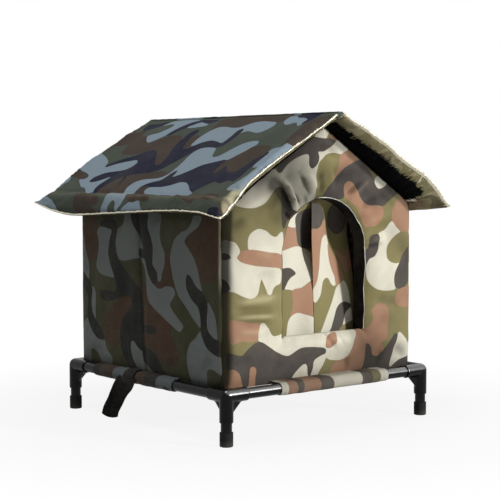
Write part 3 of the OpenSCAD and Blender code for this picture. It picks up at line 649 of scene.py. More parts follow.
# %% Left roof print
LIGHT, NAVY, BROWN = 1, 2, 3
LEFT_ROOF_PRINT = [
    (BROWN, 15, 3, -141, 3, -138, 14, -127, 24, -92, 18, -74, 21, -63, 30, -52, 38, -30, 37, -5, 33, 8, 47,
     14, 29),
    (BROWN, 29, 62, 14, 67, 8, 76, 4, 93, 8, 103, 18, 103, 26, 89),
    (BROWN, 234, 39, 214, 46, 190, 42, 178, 62, 158, 64, 134, 84, 114, 73, 98, 62, 70, 62, 51, 76, 42, 101,
     26, 129, 21, 147, 32, 151, 51, 136, 70, 114, 95, 104, 120, 115, 142, 118, 170, 114, 181, 98, 186, 86,
     211, 89, 232, 86),
    (BROWN, -205, 14, -239, 14, -242, 98, -217, 101, -205, 58),
    (NAVY, 214, 14, 198, 14, 167, 4, 170, 20, 182, 31, 195, 42, 204, 36, 215, 25),
    (LIGHT, 154, 3, 89, 2, 104, 23, 111, 42, 115, 59, 134, 81, 159, 61, 142, 50, 134, 32, 137, 18, 151, 14,
     167, 20),
    (NAVY, 70, 4, 32, 6, 42, 17, 57, 17, 70, 14, 82, 25, 89, 36, 98, 48, 103, 59, 111, 56, 110, 42, 103, 23,
     92, 9),
    (LIGHT, 72, 14, 61, 17, 43, 23, 45, 28, 61, 32, 79, 34, 85, 30, 78, 22),
    (LIGHT, 8, 46, 0, 34, -18, 34, -36, 38, -55, 37, -64, 29, -75, 21, -92, 19, -108, 21, -127, 25, -132, 39,
     -127, 54, -118, 58, -103, 54, -91, 51, -82, 54, -77, 58, -71, 46, -64, 45, -64, 64, -68, 86, -55, 88,
     -38, 81, -24, 82, -13, 86, -3, 94, 4, 92, 9, 70),
    (LIGHT, -141, 4, -158, 3, -164, 8, -177, 9, -191, 17, -194, 32, -189, 37, -180, 28, -171, 26, -161, 32,
     -150, 28, -142, 18),
    (NAVY, -158, 1, -199, -1, -203, 14, -197, 34, -192, 26, -191, 16, -177, 9, -163, 8),
    (NAVY, 46, 43, 36, 51, 31, 76, 15, 104, 1, 103, -14, 87, -30, 80, -49, 84, -67, 89, -68, 70, -63, 50,
     -67, 43, -75, 51, -81, 76, -78, 95, -67, 100, -42, 100, -27, 104, -16, 123, -5, 142, 4, 164, 26, 176,
     51, 180, 76, 184, 89, 195, 97, 214, 94, 232, 111, 229, 119, 211, 115, 188, 129, 195, 145, 201, 157, 197,
     159, 189, 148, 179, 163, 164, 164, 151, 142, 132, 120, 123, 98, 107, 76, 111, 57, 129, 42, 145, 29, 152,
     21, 147, 28, 126, 42, 101, 49, 73, 52, 51),
    (NAVY, 79, 182, 65, 189, 61, 207, 57, 223, 62, 221, 70, 201),
    (LIGHT, 237, 119, 217, 121, 195, 131, 175, 143, 163, 159, 142, 147, 120, 140, 101, 137, 91, 145, 93, 157,
     104, 164, 120, 167, 139, 171, 153, 180, 159, 189, 157, 200, 145, 203, 129, 196, 115, 186, 117, 211, 107,
     234, 123, 231, 142, 218, 157, 215, 178, 203, 193, 192, 175, 192, 181, 182, 201, 174, 226, 165, 237,
     162),
    (BROWN, 237, 165, 217, 171, 195, 177, 180, 184, 178, 191, 195, 192, 214, 186, 232, 184),
    (LIGHT, 240, 187, 229, 187, 221, 195, 223, 204, 232, 211, 242, 211),
    (LIGHT, 237, 249, 220, 247, 198, 254, 179, 264, 170, 274, 182, 273, 201, 266, 220, 261, 236, 261),
    (BROWN, 61, 182, 42, 180, 20, 176, -5, 170, -27, 175, -21, 189, -2, 192, 15, 195, 25, 204, 26, 218, 20,
     229, 45, 232, 57, 226, 61, 201),
    (BROWN, 89, 196, 78, 185, 70, 198, 61, 220, 59, 231, 92, 232, 96, 217),
    (LIGHT, -205, 112, -214, 104, -242, 104, -245, 198, -228, 211, -214, 213, -212, 205, -219, 189, -225,
     170, -221, 155, -212, 156, -207, 145),
    (LIGHT, -25, 115, -32, 104, -49, 101, -67, 104, -75, 115, -83, 126, -91, 130, -102, 126, -113, 109, -125,
     93, -141, 86, -153, 88, -156, 100, -149, 115, -139, 131, -127, 140, -105, 146, -89, 153, -77, 167, -63,
     179, -50, 185, -47, 174, -41, 167, -35, 175, -34, 189, -22, 196, -10, 203, -5, 214, -5, 225, 4, 230, 18,
     229, 26, 218, 25, 204, 14, 196, -5, 192, -21, 189, -32, 179, -33, 164, -30, 145, -26, 129),
    (NAVY, -41, 167, -47, 175, -50, 185, -63, 179, -77, 167, -89, 153, -105, 146, -127, 138, -132, 143, -135,
     159, -138, 174, -144, 170, -147, 151, -158, 161, -169, 168, -181, 166, -188, 151, -192, 136, -200, 123,
     -206, 118, -206, 139, -205, 161, -206, 182, -203, 192, -192, 189, -180, 197, -164, 193, -156, 201, -149,
     211, -143, 221, -130, 217, -117, 207, -102, 200, -86, 198, -74, 204, -55, 210, -30, 211, -24, 215, -27,
     226, -16, 229, -6, 221, -6, 211, -17, 201, -33, 195),
    (BROWN, -9, 214, -24, 212, -27, 228, -14, 230, -6, 225),
    (BROWN, -158, 101, -192, 100, -202, 117, -192, 136, -188, 151, -181, 166, -169, 168, -158, 161, -146,
     150, -142, 170, -137, 170, -133, 145, -141, 130, -152, 114),
    (LIGHT, -27, 214, -55, 211, -74, 205, -86, 199, -102, 200, -117, 208, -130, 218, -144, 226, -114, 229,
     -67, 228, -30, 226),
    (LIGHT, 45, 233, 15, 230, 5, 240, 7, 254, 14, 261, 21, 249, 32, 247, 38, 258, 36, 273, 51, 274, 54, 261,
     50, 242),
    (LIGHT, 1, 264, -17, 250, -36, 246, -49, 256, -67, 272, -36, 274, -2, 273),
    (BROWN, 136, 240, 100, 238, 78, 241, 72, 250, 86, 255, 74, 262, 116, 262, 138, 254),
    (BROWN, 4, 237, -28, 235, -56, 238, -57, 247, -36, 246, -17, 248),
    (BROWN, -128, 238, -160, 231, -200, 226, -214, 234, -206, 243, -186, 241, -163, 246, -145, 243),
    (NAVY, -216, 254, -245, 251, -245, 275, -224, 275),
    (BROWN, -224, 240, -229, 246, -232, 254, -238, 250, -238, 236, -229, 232)]
print(len(LEFT_ROOF_PRINT), "patches on the left roof")

# %% [markdown]
# ### Covers
# The cover's back follows the board's top, so the board shows nowhere and fills the pocket.

# %% Foil finish
foil, tree, shader = finish("crumpled_foil", srgb(196, 190, 170), 0.3, 0.9)
crush = fine_creases(tree, 60.0)
feed(tree, shader, Roughness=smooth_range(tree, crush, 0.3, 0.9, 0.22, 0.42))
bump(tree, shader, (crush, 0.8, 2.2), (fine_creases(tree, 190.0), 0.6, 0.7))

# %% Roof covers
RIDGE_GAP, RIDGE_DROP = 0.4, 2.2
EASE, CLOTH_LEAST = 6, 1.2


def panel_points(side, s, y, t, ridge_t):
    """Grid of points with the rows running down the slope; the first row is cut upright at the ridge."""
    s = s + 0 * y
    s = np.concatenate([(RIDGE_GAP - ridge_t * SIN) / COS + 0 * s[:1], s])
    t = np.concatenate([ridge_t + 0 * t[:1], t])
    return on_roof(side, s, y[:1], t), s


def painted_roof_sunlight(y, s):
    """Painted sunlight on the front corner and the eave's roll, less a painted shade beneath the roll."""
    light = 0.4 * ramp(s - 196, 40) * bell(y, -roof_half_l, 7) + 0.28 * bell(s, 216, 14) * bell(y, -230, 8)
    light = light * (1 + 0.5 * waves(stacked(y, s), 14, 47))
    return light + 0.1 * bell(s, board_end + 13, 6) - 0.2 * ramp(s - board_end - 18, 8)


def roof_cover(side):
    """Cover: top by roof_heights; back on the board inside the pocket and on the lining outside it."""
    s, y = grid(slope_s, along_y)
    top, low = roof_heights(side, s, y)
    pocket = rounded(np.minimum(s - board_start, board_end - s) + EASE, EASE)
    pocket = pocket * rounded(board_half_l + EASE - np.abs(y), EASE)
    back = np.minimum(low + LINING_T + 0.2 + ROOF_BOARD_T * pocket, top - CLOTH_LEAST)
    front, full_s = panel_points(side, s, y, top, (ridge_z - roof_z - RIDGE_DROP) * COS)
    rear, _ = panel_points(side, np.maximum(s, 1.5), y, back, LINING_T + 0.4)
    places = stacked(y[:1], full_s)
    fields = printed(places, LEFT_ROOF_PRINT) if side == "left" else wild_print(places, 7)
    # painted sunlight and shade of the cover, stored on it
    painted_shading = np.clip(-painted_roof_sunlight(places[..., 0], full_s), -0.6, 0.3)
    cover = closed_form(f"roof_{side}_cover_cloth", front, rear, places, fields, painted_shading)
    dress(cover, skylit_roof_cloth, f"roof_{side}", f"roof_{side}_cover")


for side in SIDES:
    roof_cover(side)

# %% [markdown]
# ### Linings
# The foil lining covers the underside and turns up round the margin as a crinkled rim. Its grid runs
# on past the edges: there the place stays at the edge and the height climbs to the cover's edge.

# %% Roof linings
RIM_STEPS, RIM_OUT, RIM_BULGE, FOIL_T = 7, 0.7, 1.3, 0.5


def beyond(values, both):
    """The values with a few repeats of the last one, or of both, and the share climbed at each."""
    climb = np.linspace(0, 1, RIM_STEPS + 1)[1:]
    start = (np.full(RIM_STEPS, values[0]), climb[::-1]) if both else (values[:0], values[:0])
    return (np.concatenate([start[0], values, np.full(RIM_STEPS, values[-1])]),
            np.concatenate([start[1], 0 * values, climb]))


def roof_lining(side):
    """Sheet of foil: low height inside, climbing to the cover's edge along the rims, crumpled by
    ridged waves; the rim bulges outwards as a sine of the share climbed."""
    inner_s = np.concatenate([np.linspace(1.5, board_end, 70)[:-1], board_end + margin_steps])
    (s, climb_s), (y, climb_y) = beyond(inner_s, False), beyond(along_y, True)
    s, y = grid(s, y)
    climb = np.maximum(climb_s[:, None], climb_y[None])
    top, low = roof_heights(side, s, y)
    places, edge = stacked(y, s), stacked(y + s, 6 * climb)
    crush = waves(places, 26, 5, folded=True) + 0.6 * waves(places, 11, 6, folded=True)
    rim_crush = waves(edge, 14, 8, folded=True) + 0.7 * waves(edge, 6, 9)
    out = RIM_OUT + RIM_BULGE * np.sin(math.pi * climb)
    out = out + 0.35 * rim_crush * np.sin(math.pi * np.minimum(climb + 0.25, 1))
    t = low + 0.35 * crush * (climb == 0) * ramp(s - 8, 20) + (top + 0.6 - low) * climb
    t = t + 0.5 * rim_crush * (climb == 1)
    s = s + out * (climb_s[:, None] > 0)
    y = y + out * np.sign(y) * (climb_y[None] > 0)
    lining = thick_sheet(f"roof_{side}_foil", on_roof(side, s, y, t), -FOIL_T, places)
    dress(lining, foil, f"roof_{side}", f"roof_{side}_lining")


for side in SIDES:
    roof_lining(side)

# %% [markdown]
# ### Hems
# The cover's cloth is folded under the front, rear and eave margins. Each hem is a strip of darker,
# plainer print that lies on the foil. Along a rake's outer edge worn foil shows through it.

# %% Hem finish
HEM_COLOURS = srgb(126, 119, 86), srgb(152, 144, 112), srgb(124, 106, 80), srgb(96, 89, 66)
hem_cloth, tree, shader = finish("hem_camouflage", HEM_COLOURS[0], 0.75, Specular_IOR_Level=0.05)
place = coordinates(tree, "UV")
across = math_node(tree, "ABSOLUTE", node(tree, "SeparateXYZ", Vector=place).outputs[0])
flakes = noise(tree, place, 330.0, 4.0, 0.7)
edge_share = smooth_range(tree, across, (roof_half_l - 8) * MM, (roof_half_l - 1) * MM, 0.0, 0.11)
worn = smooth_range(tree, math_node(tree, "ADD", flakes, edge_share), 0.71, 0.74)
feed(tree, shader, Metallic=math_node(tree, "MULTIPLY", worn, 0.8),
     Base_Color=mix_colours(tree, worn, print_colour(tree, *HEM_COLOURS, 0.12), srgb(214, 208, 190)),
     Roughness=smooth_range(tree, worn, 0.0, 1.0, 0.75, 0.35))
bump(tree, shader, (fine_creases(tree, 70.0), 0.5, 1.2), (threads(tree, THREAD), 0.3, 0.12))

# %% Hems
HEM_W, EAVE_HEM_W, HEM_IN = 27.0, MARGIN - 4, 0.4


def hem(side, end):
    """A strip under a margin, from the hook tape's line to the rim; s is the way down the slope."""
    if end == "eave":
        share, y = grid(np.linspace(0, 1, 14), np.linspace(-1, 1, 200) * (roof_half_l - 1))
        s = panel_l - HEM_IN - EAVE_HEM_W * (1 - share)
        below, thickness, seed, flat = 1.9, 0.4, 141, (2 * roof_half_l, EAVE_HEM_W)
    else:
        s, share = grid(np.linspace(6, panel_l - 0.5, 190), np.linspace(0, 1, 16))
        y = TURN[end] * (roof_half_l - HEM_IN - HEM_W * (1 - share))
        below, thickness, seed, flat = 1.35, 0.5 * TURN[end], 131, (panel_l, HEM_W)
    p = stacked(y, s)
    t = roof_heights(side, s, y)[1] - below - 0.15 * (1 + waves(p, 24, seed))
    if end != "eave":
        t = t - 0.4 * np.abs(waves(p * [0.4, 1], 15, 132)) * share
    made = thick_sheet(f"roof_{side}_hem_{end}", on_roof(side, s, y, t), thickness * TURN[side], p,
                       wild_print(p, 133, size=70))
    dress(made, hem_cloth, f"roof_{side}")


for side in SIDES:
    for end in ("eave", *ENDS):
        hem(side, end)

# %% [markdown]
# ## Cabin walls
# Each wall's cover swells away from its sewn edges. The front wall's grid is a ring: its rows run
# along rays from the wall's outline to the doorway, so the cloth's gathers follow the arch.

# %% Wall helpers
TOP_Z = apex_z - half_w * math.tan(pitch)
EDGE_SINK = COVER_T - 0.4


def gable_z(x):
    """Height of a gable's top edge at x."""
    return apex_z - np.abs(x) * math.tan(pitch)


def to_slope(x, z):
    """Distance below a gable's sloping edge."""
    return (gable_z(x) - z) * COS


def nearest(*distances, blend=5.0):
    """Smooth minimum of several distances, never under nought."""
    total = sum(np.exp(-d / blend) for d in distances)
    return np.maximum(-blend * np.log(total), 0)


def to_door(x, z):
    """Distance outside the doorway's outline."""
    side = np.abs(x - door_x) - arch_r
    above = np.hypot(x - door_x, z - arch_z) - arch_r
    below = np.hypot(np.maximum(side, 0), np.maximum(sill_z - z, 0))
    return np.maximum(np.where(z > arch_z, above, below), 0)


def hem_drop(along, z, drop):
    """How far a cover's lower edge hangs below the wall's foot, less beside the corner fittings."""
    return (drop - 1.2 * ramp(np.abs(along) - 158, 18)) * waning(z - foot_z, 5)


# %% Folds of the front
FRONT_FOLDS = (
    (-84, 374, -53, 328, 4.5, 4.0), (-94, 368, -61, 322, 6, -3.6), (-50, 380, -25, 345, 4.5, -2.6),
    (-36, 384, -14, 350, 6, 2.2), (-64, 354, -44, 331, 2.6, -1.6), (-78, 324, -58, 312, 3, -2.6),
    (-10, 385, -4, 348, 6, -1.6), (12, 388, 14, 346, 6, 1.6), (44, 346, 76, 368, 3.2, -2.6),
    (56, 346, 92, 372, 6, 2.0), (70, 326, 112, 344, 6, -1.6), (80, 306, 128, 316, 7, 1.6),
    (86, 267, 118, 272, 2.8, -2.2), (90, 276, 130, 284, 7, 1.4), (-52, 131, 64, 131, 7, 2.4),
    (-1, 142, 22, 118, 4, -2.2), (26, 140, 40, 122, 4, -1.2), (-176, 198, -88, 203, 6, 2.2),
    (-178, 187, -92, 184, 4.5, -2.6), (-176, 178, -96, 176, 5, 2.2), (-172, 168, -100, 165, 5, -2.2),
    (-170, 158, -112, 152, 6, 1.4),
    (-182, 110, -140, 122, 7, -1.6), (-100, 84, -84, 110, 6, -1.4), (-40, 82, -30, 104, 6, 1.4),
    (50, 82, 44, 106, 6, -1.4), (110, 84, 120, 110, 6, -1.4), (176, 92, 140, 116, 8, -1.8),
    (-160, 330, -100, 350, 8, 1.8), (-180, 300, -150, 318, 8, -1.6), (150, 330, 110, 352, 8, -1.6),
    (-96, 262, -150, 268, 8, 1.2), (-92, 236, -140, 230, 8, -1.4), (130, 230, 170, 250, 10, 1.4),
    (100, 190, 160, 176, 9, -1.4), (-20, 420, 30, 412, 7, -1.6), (-40, 408, 20, 398, 6, 1.4))

# %% Relief of the front
GATHER, GATHER_PACE, PAD, BULGE, FOOT_SINK, DOOR_SINK = 0.8, 23, 9.5, 3.0, 2.6, 1.6


def door_walk(x, z):
    """Way along the doorway's outline from the top of the arch, positive to the right."""
    turn = np.arctan2(x - door_x, np.maximum(z - arch_z, 1e-6))
    return arch_r * turn + np.sign(x - door_x) * np.maximum(arch_z - z, 0)


def gathers(x, z, door):
    """Gathers of the cloth sewn to the doorway's tape: rounded ridges with narrow valleys between
    them, deepest at the upper left, fading away from the edge."""
    walk = door_walk(x, z)
    warped = walk + 6 * np.sin(walk / 21 + 0.7) + 4 * np.sin(walk / 9.3 + 2)
    ridge = np.abs(np.sin(warped * math.pi / GATHER_PACE)) ** 0.8 - 0.62
    deep = GATHER + 2.4 * bell(walk, -48, 34) + 1.5 * bell(walk, 62, 34) + 0.8 * bell(walk, 118, 30)
    reach = 15 + 16 * bell(walk, -48, 40) + 6 * bell(walk, 62, 40)
    return deep * ridge * waning(door, reach) * ramp(z - sill_z + 6, 24)


def front_relief(x, z):
    """Gathers, folds and soft unevenness of the front, without the pad under them."""
    p = stacked(x, z)
    door = to_door(x, z)
    soft = 1.6 * waves(p, 110, 11) + 0.9 * waves(p * [0.7, 1], 46, 12) + 0.35 * waves(p, 22, 13)
    folds = gathers(x, z, door) * growing(door + 1, 4)
    return folds + 1.7 * creases(p, FRONT_FOLDS), soft


def front_edges(x, z):
    """Distances from the sides and slopes, from the foot, and from any edge."""
    rim = nearest(x + half_w, half_w - x, to_slope(x, z))
    return rim, z - foot_z, nearest(rim, z - foot_z)


def front_swell(x, z):
    """How far the front cover stands out: a pad with a rolled edge, a bulge below the sill, folds."""
    rim, foot, edge = front_edges(x, z)
    door = to_door(x, z)
    pad = PAD * growing(edge, 15) * growing(door + 1, 13)
    bulge = BULGE * bell(z, sill_z - 16, 16) * growing(edge, 10) * growing(door + 2, 8)
    folds, soft = front_relief(x, z)
    swell = np.clip(pad + bulge + (folds + soft) * growing(edge, 12), -1.5, 16)
    at_edges = EDGE_SINK * (1 - rounded(rim, 13)) + FOOT_SINK * (1 - rounded(foot, 9))
    return swell - at_edges - DOOR_SINK * (1 - rounded(door, 7))


# %% Painted shade and light of the front
# Amounts of painted shade at each place; SUNNY is the amount of painted sunlight.
UNDER_ROOF, OVER_ARCH, AT_FOOT, AT_CORNER = 0.62, 0.3, 0.42, 0.95
LOWER_RIGHT, BY_TAPE, UPPER_LEFT, SUNNY = 0.5, 0.5, 0.5, 0.11


def front_painted_shading(x, z):
    """Painted shade in the valleys of the front, under the roof, over the arch, along the foot
    and the left corner, at the lower right and beside the tape; painted sunlight where the sun is brightest."""
    _, foot, edge = front_edges(x, z)
    folds, soft = front_relief(x, z)
    shaped = folds + 1.2 * soft * np.clip(ramp(z - 292, 40) + 0.5 * ramp(x, 60), 0, 1)
    lit = ramp(-60 - x, 30) * ramp(292 - z, 40)
    valley = np.clip(-(0.12 - 0.06 * lit) * shaped, 0, 0.5) - np.clip(0.06 * shaped, 0, 0.2)
    shade = valley * growing(edge, 8)
    shade = shade + UNDER_ROOF * waning(to_slope(x, z), 46) * np.clip(0.6 - x / 90, 0.2, 1)
    over_arch = waning(to_door(x, z), 22) * ramp(z - arch_z - 20, 60)
    shade = shade + OVER_ARCH * over_arch * np.clip(0.6 - x / 60, 0.2, 1)
    shade = shade + AT_FOOT * waning(foot, 34) * np.clip(0.9 - np.abs(x) / 400, 0.4, 0.9)
    shade = shade + AT_CORNER * np.exp(-(np.abs(x + half_w) / 13) ** 4)
    shade = shade + LOWER_RIGHT * bell(x, 84, 48) * bell(z, 106, 34) + 0.12 * ramp(x - 85, 50)
    shade = shade + BY_TAPE * ramp(x, 20) / (1 + np.exp((to_slope(x, z) - 15.5) / 1.2))
    shade = shade + UPPER_LEFT * bell(x, -62, 66) * bell(z, 362, 46)
    return np.clip(shade - SUNNY * bell(x, -125, 60) * bell(z, 205, 90), -0.4, 0.92)


def sill_lift(x, z):
    """Share by which the cover's cloth rolls up in front of the sill."""
    inside_jambs = ramp(arch_r + 3 - np.abs(x - door_x), 9)
    return waning(np.maximum(sill_z - z, 0), 6) * inside_jambs * (z <= sill_z + 0.1)


# %% Grid of the front


def wall_lines(w, spacing):
    """Points along the front wall's outline, with those on the rays through the sill's corners."""
    ray = arch_r / (arch_z - sill_z) * (arch_z - foot_z)
    corners = np.array([(-w, foot_z), (door_x - ray, foot_z), (door_x + ray, foot_z), (w, foot_z),
                        (w, gable_z(w)), (0, apex_z), (-w, gable_z(w))])
    runs = []
    for start, end in zip(corners, np.roll(corners, -1, 0)):
        count = max(2, round(np.linalg.norm(end - start) / spacing))
        runs.append(start + (end - start) * (np.arange(count) / count)[:, None])
    return np.concatenate(runs)


def front_grid(spacing, rings, w=half_w):
    """Places x, z of the ring grid: along each ray, closer together at both ends."""
    d = wall_lines(w, spacing) - [door_x, arch_z]
    down = np.minimum(arch_r / np.maximum(np.abs(d[:, 0]), 1e-3),
                      (arch_z - sill_z) / np.maximum(-d[:, 1], 1e-3))
    share = np.where(d[:, 1] >= 0, arch_r / np.linalg.norm(d, axis=1), down)
    v = np.linspace(0, 1, rings)
    v = v - 0.1 * np.sin(2 * math.pi * v)
    return [door_x, arch_z] + d[:, None] * (1 + (share[:, None] - 1) * v)[..., None]


# %% [markdown]
# ### The front wall's print
# Cream, tan and dark grey on olive, as x and height.

# %% Front print
CREAM, TAN, DARK = 1, 2, 3
FRONT_PRINT = [
    (CREAM, -164, 335, -134, 356, -97, 379, -86, 376, -80, 362, -91, 359, -101, 349, -114, 337, -133, 331,
     -153, 331),
    (CREAM, -80, 379, -59, 393, -37, 404, -28, 406, -27, 390, -20, 386, -12, 393, -11, 409, 2, 411, 19, 418,
     26, 429, 32, 428, 44, 413, 40, 407, 19, 407, 3, 405, -8, 395, -13, 376, -14, 361, -19, 342, -34, 336,
     -50, 326, -58, 328, -66, 342, -78, 361, -86, 376),
    (CREAM, -26, 429, -12, 439, 0, 447, 16, 446, 8, 437, 2, 426, -12, 427),
    (DARK, -86, 381, -69, 397, -44, 414, -30, 426, -6, 427, 22, 426, 16, 420, 0, 412, -12, 410, -13, 395,
     -22, 387, -27, 392, -28, 406, -44, 403, -66, 392, -81, 379),
    (TAN, 8, 439, 22, 443, 30, 434, 22, 425, 12, 429),
    (0, -13, 379, -8, 395, 3, 405, 20, 407, 33, 403, 31, 392, 22, 373, 6, 354, 0, 345, -12, 343, -14, 361),
    (TAN, 33, 403, 47, 407, 66, 395, 50, 390, 37, 382, 20, 368, 30, 388),
    (DARK, 6, 354, 19, 367, 37, 382, 50, 389, 69, 393, 87, 381, 108, 361, 131, 356, 156, 345, 144, 339, 128,
     331, 106, 329, 81, 334, 66, 345, 59, 362, 47, 365, 41, 354, 39, 343, 19, 342, 0, 344),
    (TAN, 42, 360, 50, 366, 60, 362, 69, 349, 80, 335, 95, 329, 116, 328, 123, 317, 117, 304, 106, 297, 91,
     297, 83, 303, 75, 317, 66, 331, 50, 341, 43, 347),
    (CREAM, 106, 368, 117, 365, 129, 360, 123, 356, 112, 355, 105, 362),
    (0, 123, 317, 130, 331, 144, 338, 159, 344, 162, 340, 147, 329, 142, 316, 142, 304, 131, 294, 116, 289,
     97, 285, 84, 282, 83, 295, 109, 298, 118, 304),
    (TAN, 164, 342, 175, 329, 183, 314, 183, 287, 162, 287, 153, 295, 144, 306, 143, 318, 148, 329),
    (CREAM, 112, 285, 128, 292, 141, 304, 150, 296, 162, 287, 178, 282, 178, 251, 156, 232, 148, 220, 150,
     202, 131, 200, 112, 203, 98, 211, 91, 220, 89, 236, 97, 251, 112, 262),
    (0, 134, 268, 150, 282, 166, 287, 183, 282, 183, 262, 169, 254, 159, 243, 144, 242, 131, 250),
    (DARK, 97, 282, 112, 285, 112, 265, 105, 254, 94, 250, 86, 240, 83, 254, 94, 267),
    (DARK, 183, 262, 169, 254, 159, 242, 151, 229, 147, 215, 151, 204, 162, 201, 172, 204, 183, 220),
    (TAN, 159, 198, 183, 200, 183, 175, 164, 173, 151, 181),
    (TAN, 78, 139, 95, 145, 104, 157, 102, 171, 116, 179, 130, 176, 136, 157, 132, 140, 128, 126, 116, 120,
     102, 126, 91, 134),
    (TAN, 59, 131, 78, 139, 94, 131, 112, 120, 125, 111, 112, 95, 91, 82, 19, 79, 23, 95, 41, 101, 53, 111),
    (CREAM, -127, 154, -122, 164, -114, 165, -106, 156, -97, 145, -75, 146, -44, 140, 0, 139, 62, 138, 62,
     126, 55, 112, 47, 104, 31, 101, 12, 104, 3, 112, -6, 120, -25, 124, -44, 124, -59, 117, -69, 115, -84,
     118, -100, 128, -116, 139, -125, 144),
    (TAN, 4, 129, 12, 136, 25, 136, 24, 127, 16, 122, 6, 122),
    (TAN, -178, 172, -159, 171, -137, 167, -123, 165, -127, 154, -126, 145, -137, 142, -156, 145, -175, 142),
    (TAN, -178, 103, -159, 98, -153, 82, -145, 82, -141, 103, -134, 107, -127, 100, -128, 79, -178, 79),
    (DARK, -156, 122, -147, 130, -128, 139, -116, 137, -100, 127, -81, 117, -67, 114, -44, 123, -22, 123, 0,
     120, 4, 115, -3, 107, -17, 104, -20, 92, -25, 83, -31, 86, -33, 98, -44, 96, -62, 79, -125, 79, -127,
     101, -134, 107, -141, 104, -144, 82, -153, 84, -158, 98, -170, 106, -181, 106, -181, 126, -172, 126),
    (CREAM, -62, 79, -44, 96, -34, 99, -31, 85, -25, 82, -19, 93, -16, 104, 5, 111, 0, 98, -12, 84, -16, 79),
    (DARK, 89, 119, 97, 115, 101, 101, 114, 98, 126, 106, 137, 121, 148, 131, 154, 123, 147, 104, 141, 85,
     159, 91, 183, 96, 183, 79, 59, 79, 81, 84, 87, 101),
    (CREAM, 155, 131, 164, 127, 183, 109, 183, 96, 159, 91, 141, 84, 147, 103),
    (CREAM, -144, 285, -139, 294, -125, 300, -111, 297, -101, 290, -91, 288, -80, 294, -80, 267, -88, 263,
     -106, 267, -125, 271, -141, 272),
    (TAN, -165, 263, -158, 269, -137, 271, -106, 266, -84, 262, -83, 242, -94, 246, -119, 247, -144, 251,
     -159, 255),
    (CREAM, -190, 281, -177, 284, -166, 281, -159, 270, -165, 262, -156, 254, -131, 248, -106, 245, -84, 241,
     -84, 223, -92, 220, -98, 215, -101, 208, -106, 208, -111, 218, -119, 231, -123, 222, -127, 209, -139,
     204, -153, 208, -169, 215, -190, 221),
    # This dark patch beside the arch's gathers is painted shade of a deep fold.
    (DARK, -80, 356, -72, 345, -62, 328, -53, 323, -62, 320, -72, 311, -77, 301, -80, 314),
    (DARK, -190, 260, -190, 267, -180, 266, -176, 262), (DARK, -190, 214, -190, 231, -181, 226, -177, 218)]
print(len(FRONT_PRINT), "patches on the front wall")

# %% Front cover
SIDEWAYS, SLOPEWARDS, SILL_LIFT, SILL_OUT, FRONT_DROP = 0.81, 9, 4.2, 1.5, 6.2
place = front_grid(3.0, 64)
x, z = place[..., 0], place[..., 1]
swell, lift = front_swell(x, z), sill_lift(x, z)
low_z = z - hem_drop(x, z, FRONT_DROP) + SILL_LIFT * lift
front = stacked(x, front_y - swell - SILL_OUT * lift, low_z)
back = stacked(np.clip(x, -board_half_w, board_half_w), front_board_y - 0.05, low_z)
towards = SLOPEWARDS * waning(np.maximum(to_slope(x, z), 0), 16)
drawn_x = x + SIDEWAYS * (np.clip(swell, 0, 9) - 4) - towards * SIN * np.clip(x / 12, -1, 1)
fields = printed(stacked(drawn_x, z - towards * COS), FRONT_PRINT)
# the front cover stores its painted shade and sunlight with its print
front_cover = closed_form("front_cover_cloth", front, back, place, fields, front_painted_shading(x, z), ring=True)
dress(front_cover, sunlit_cloth, "house", "front_cover")

# %% [markdown]
# ### Side and rear walls
# A side wall has two half boards with a crease between them, where it folds for storage. The cover
# dips into that crease, which leans a little.

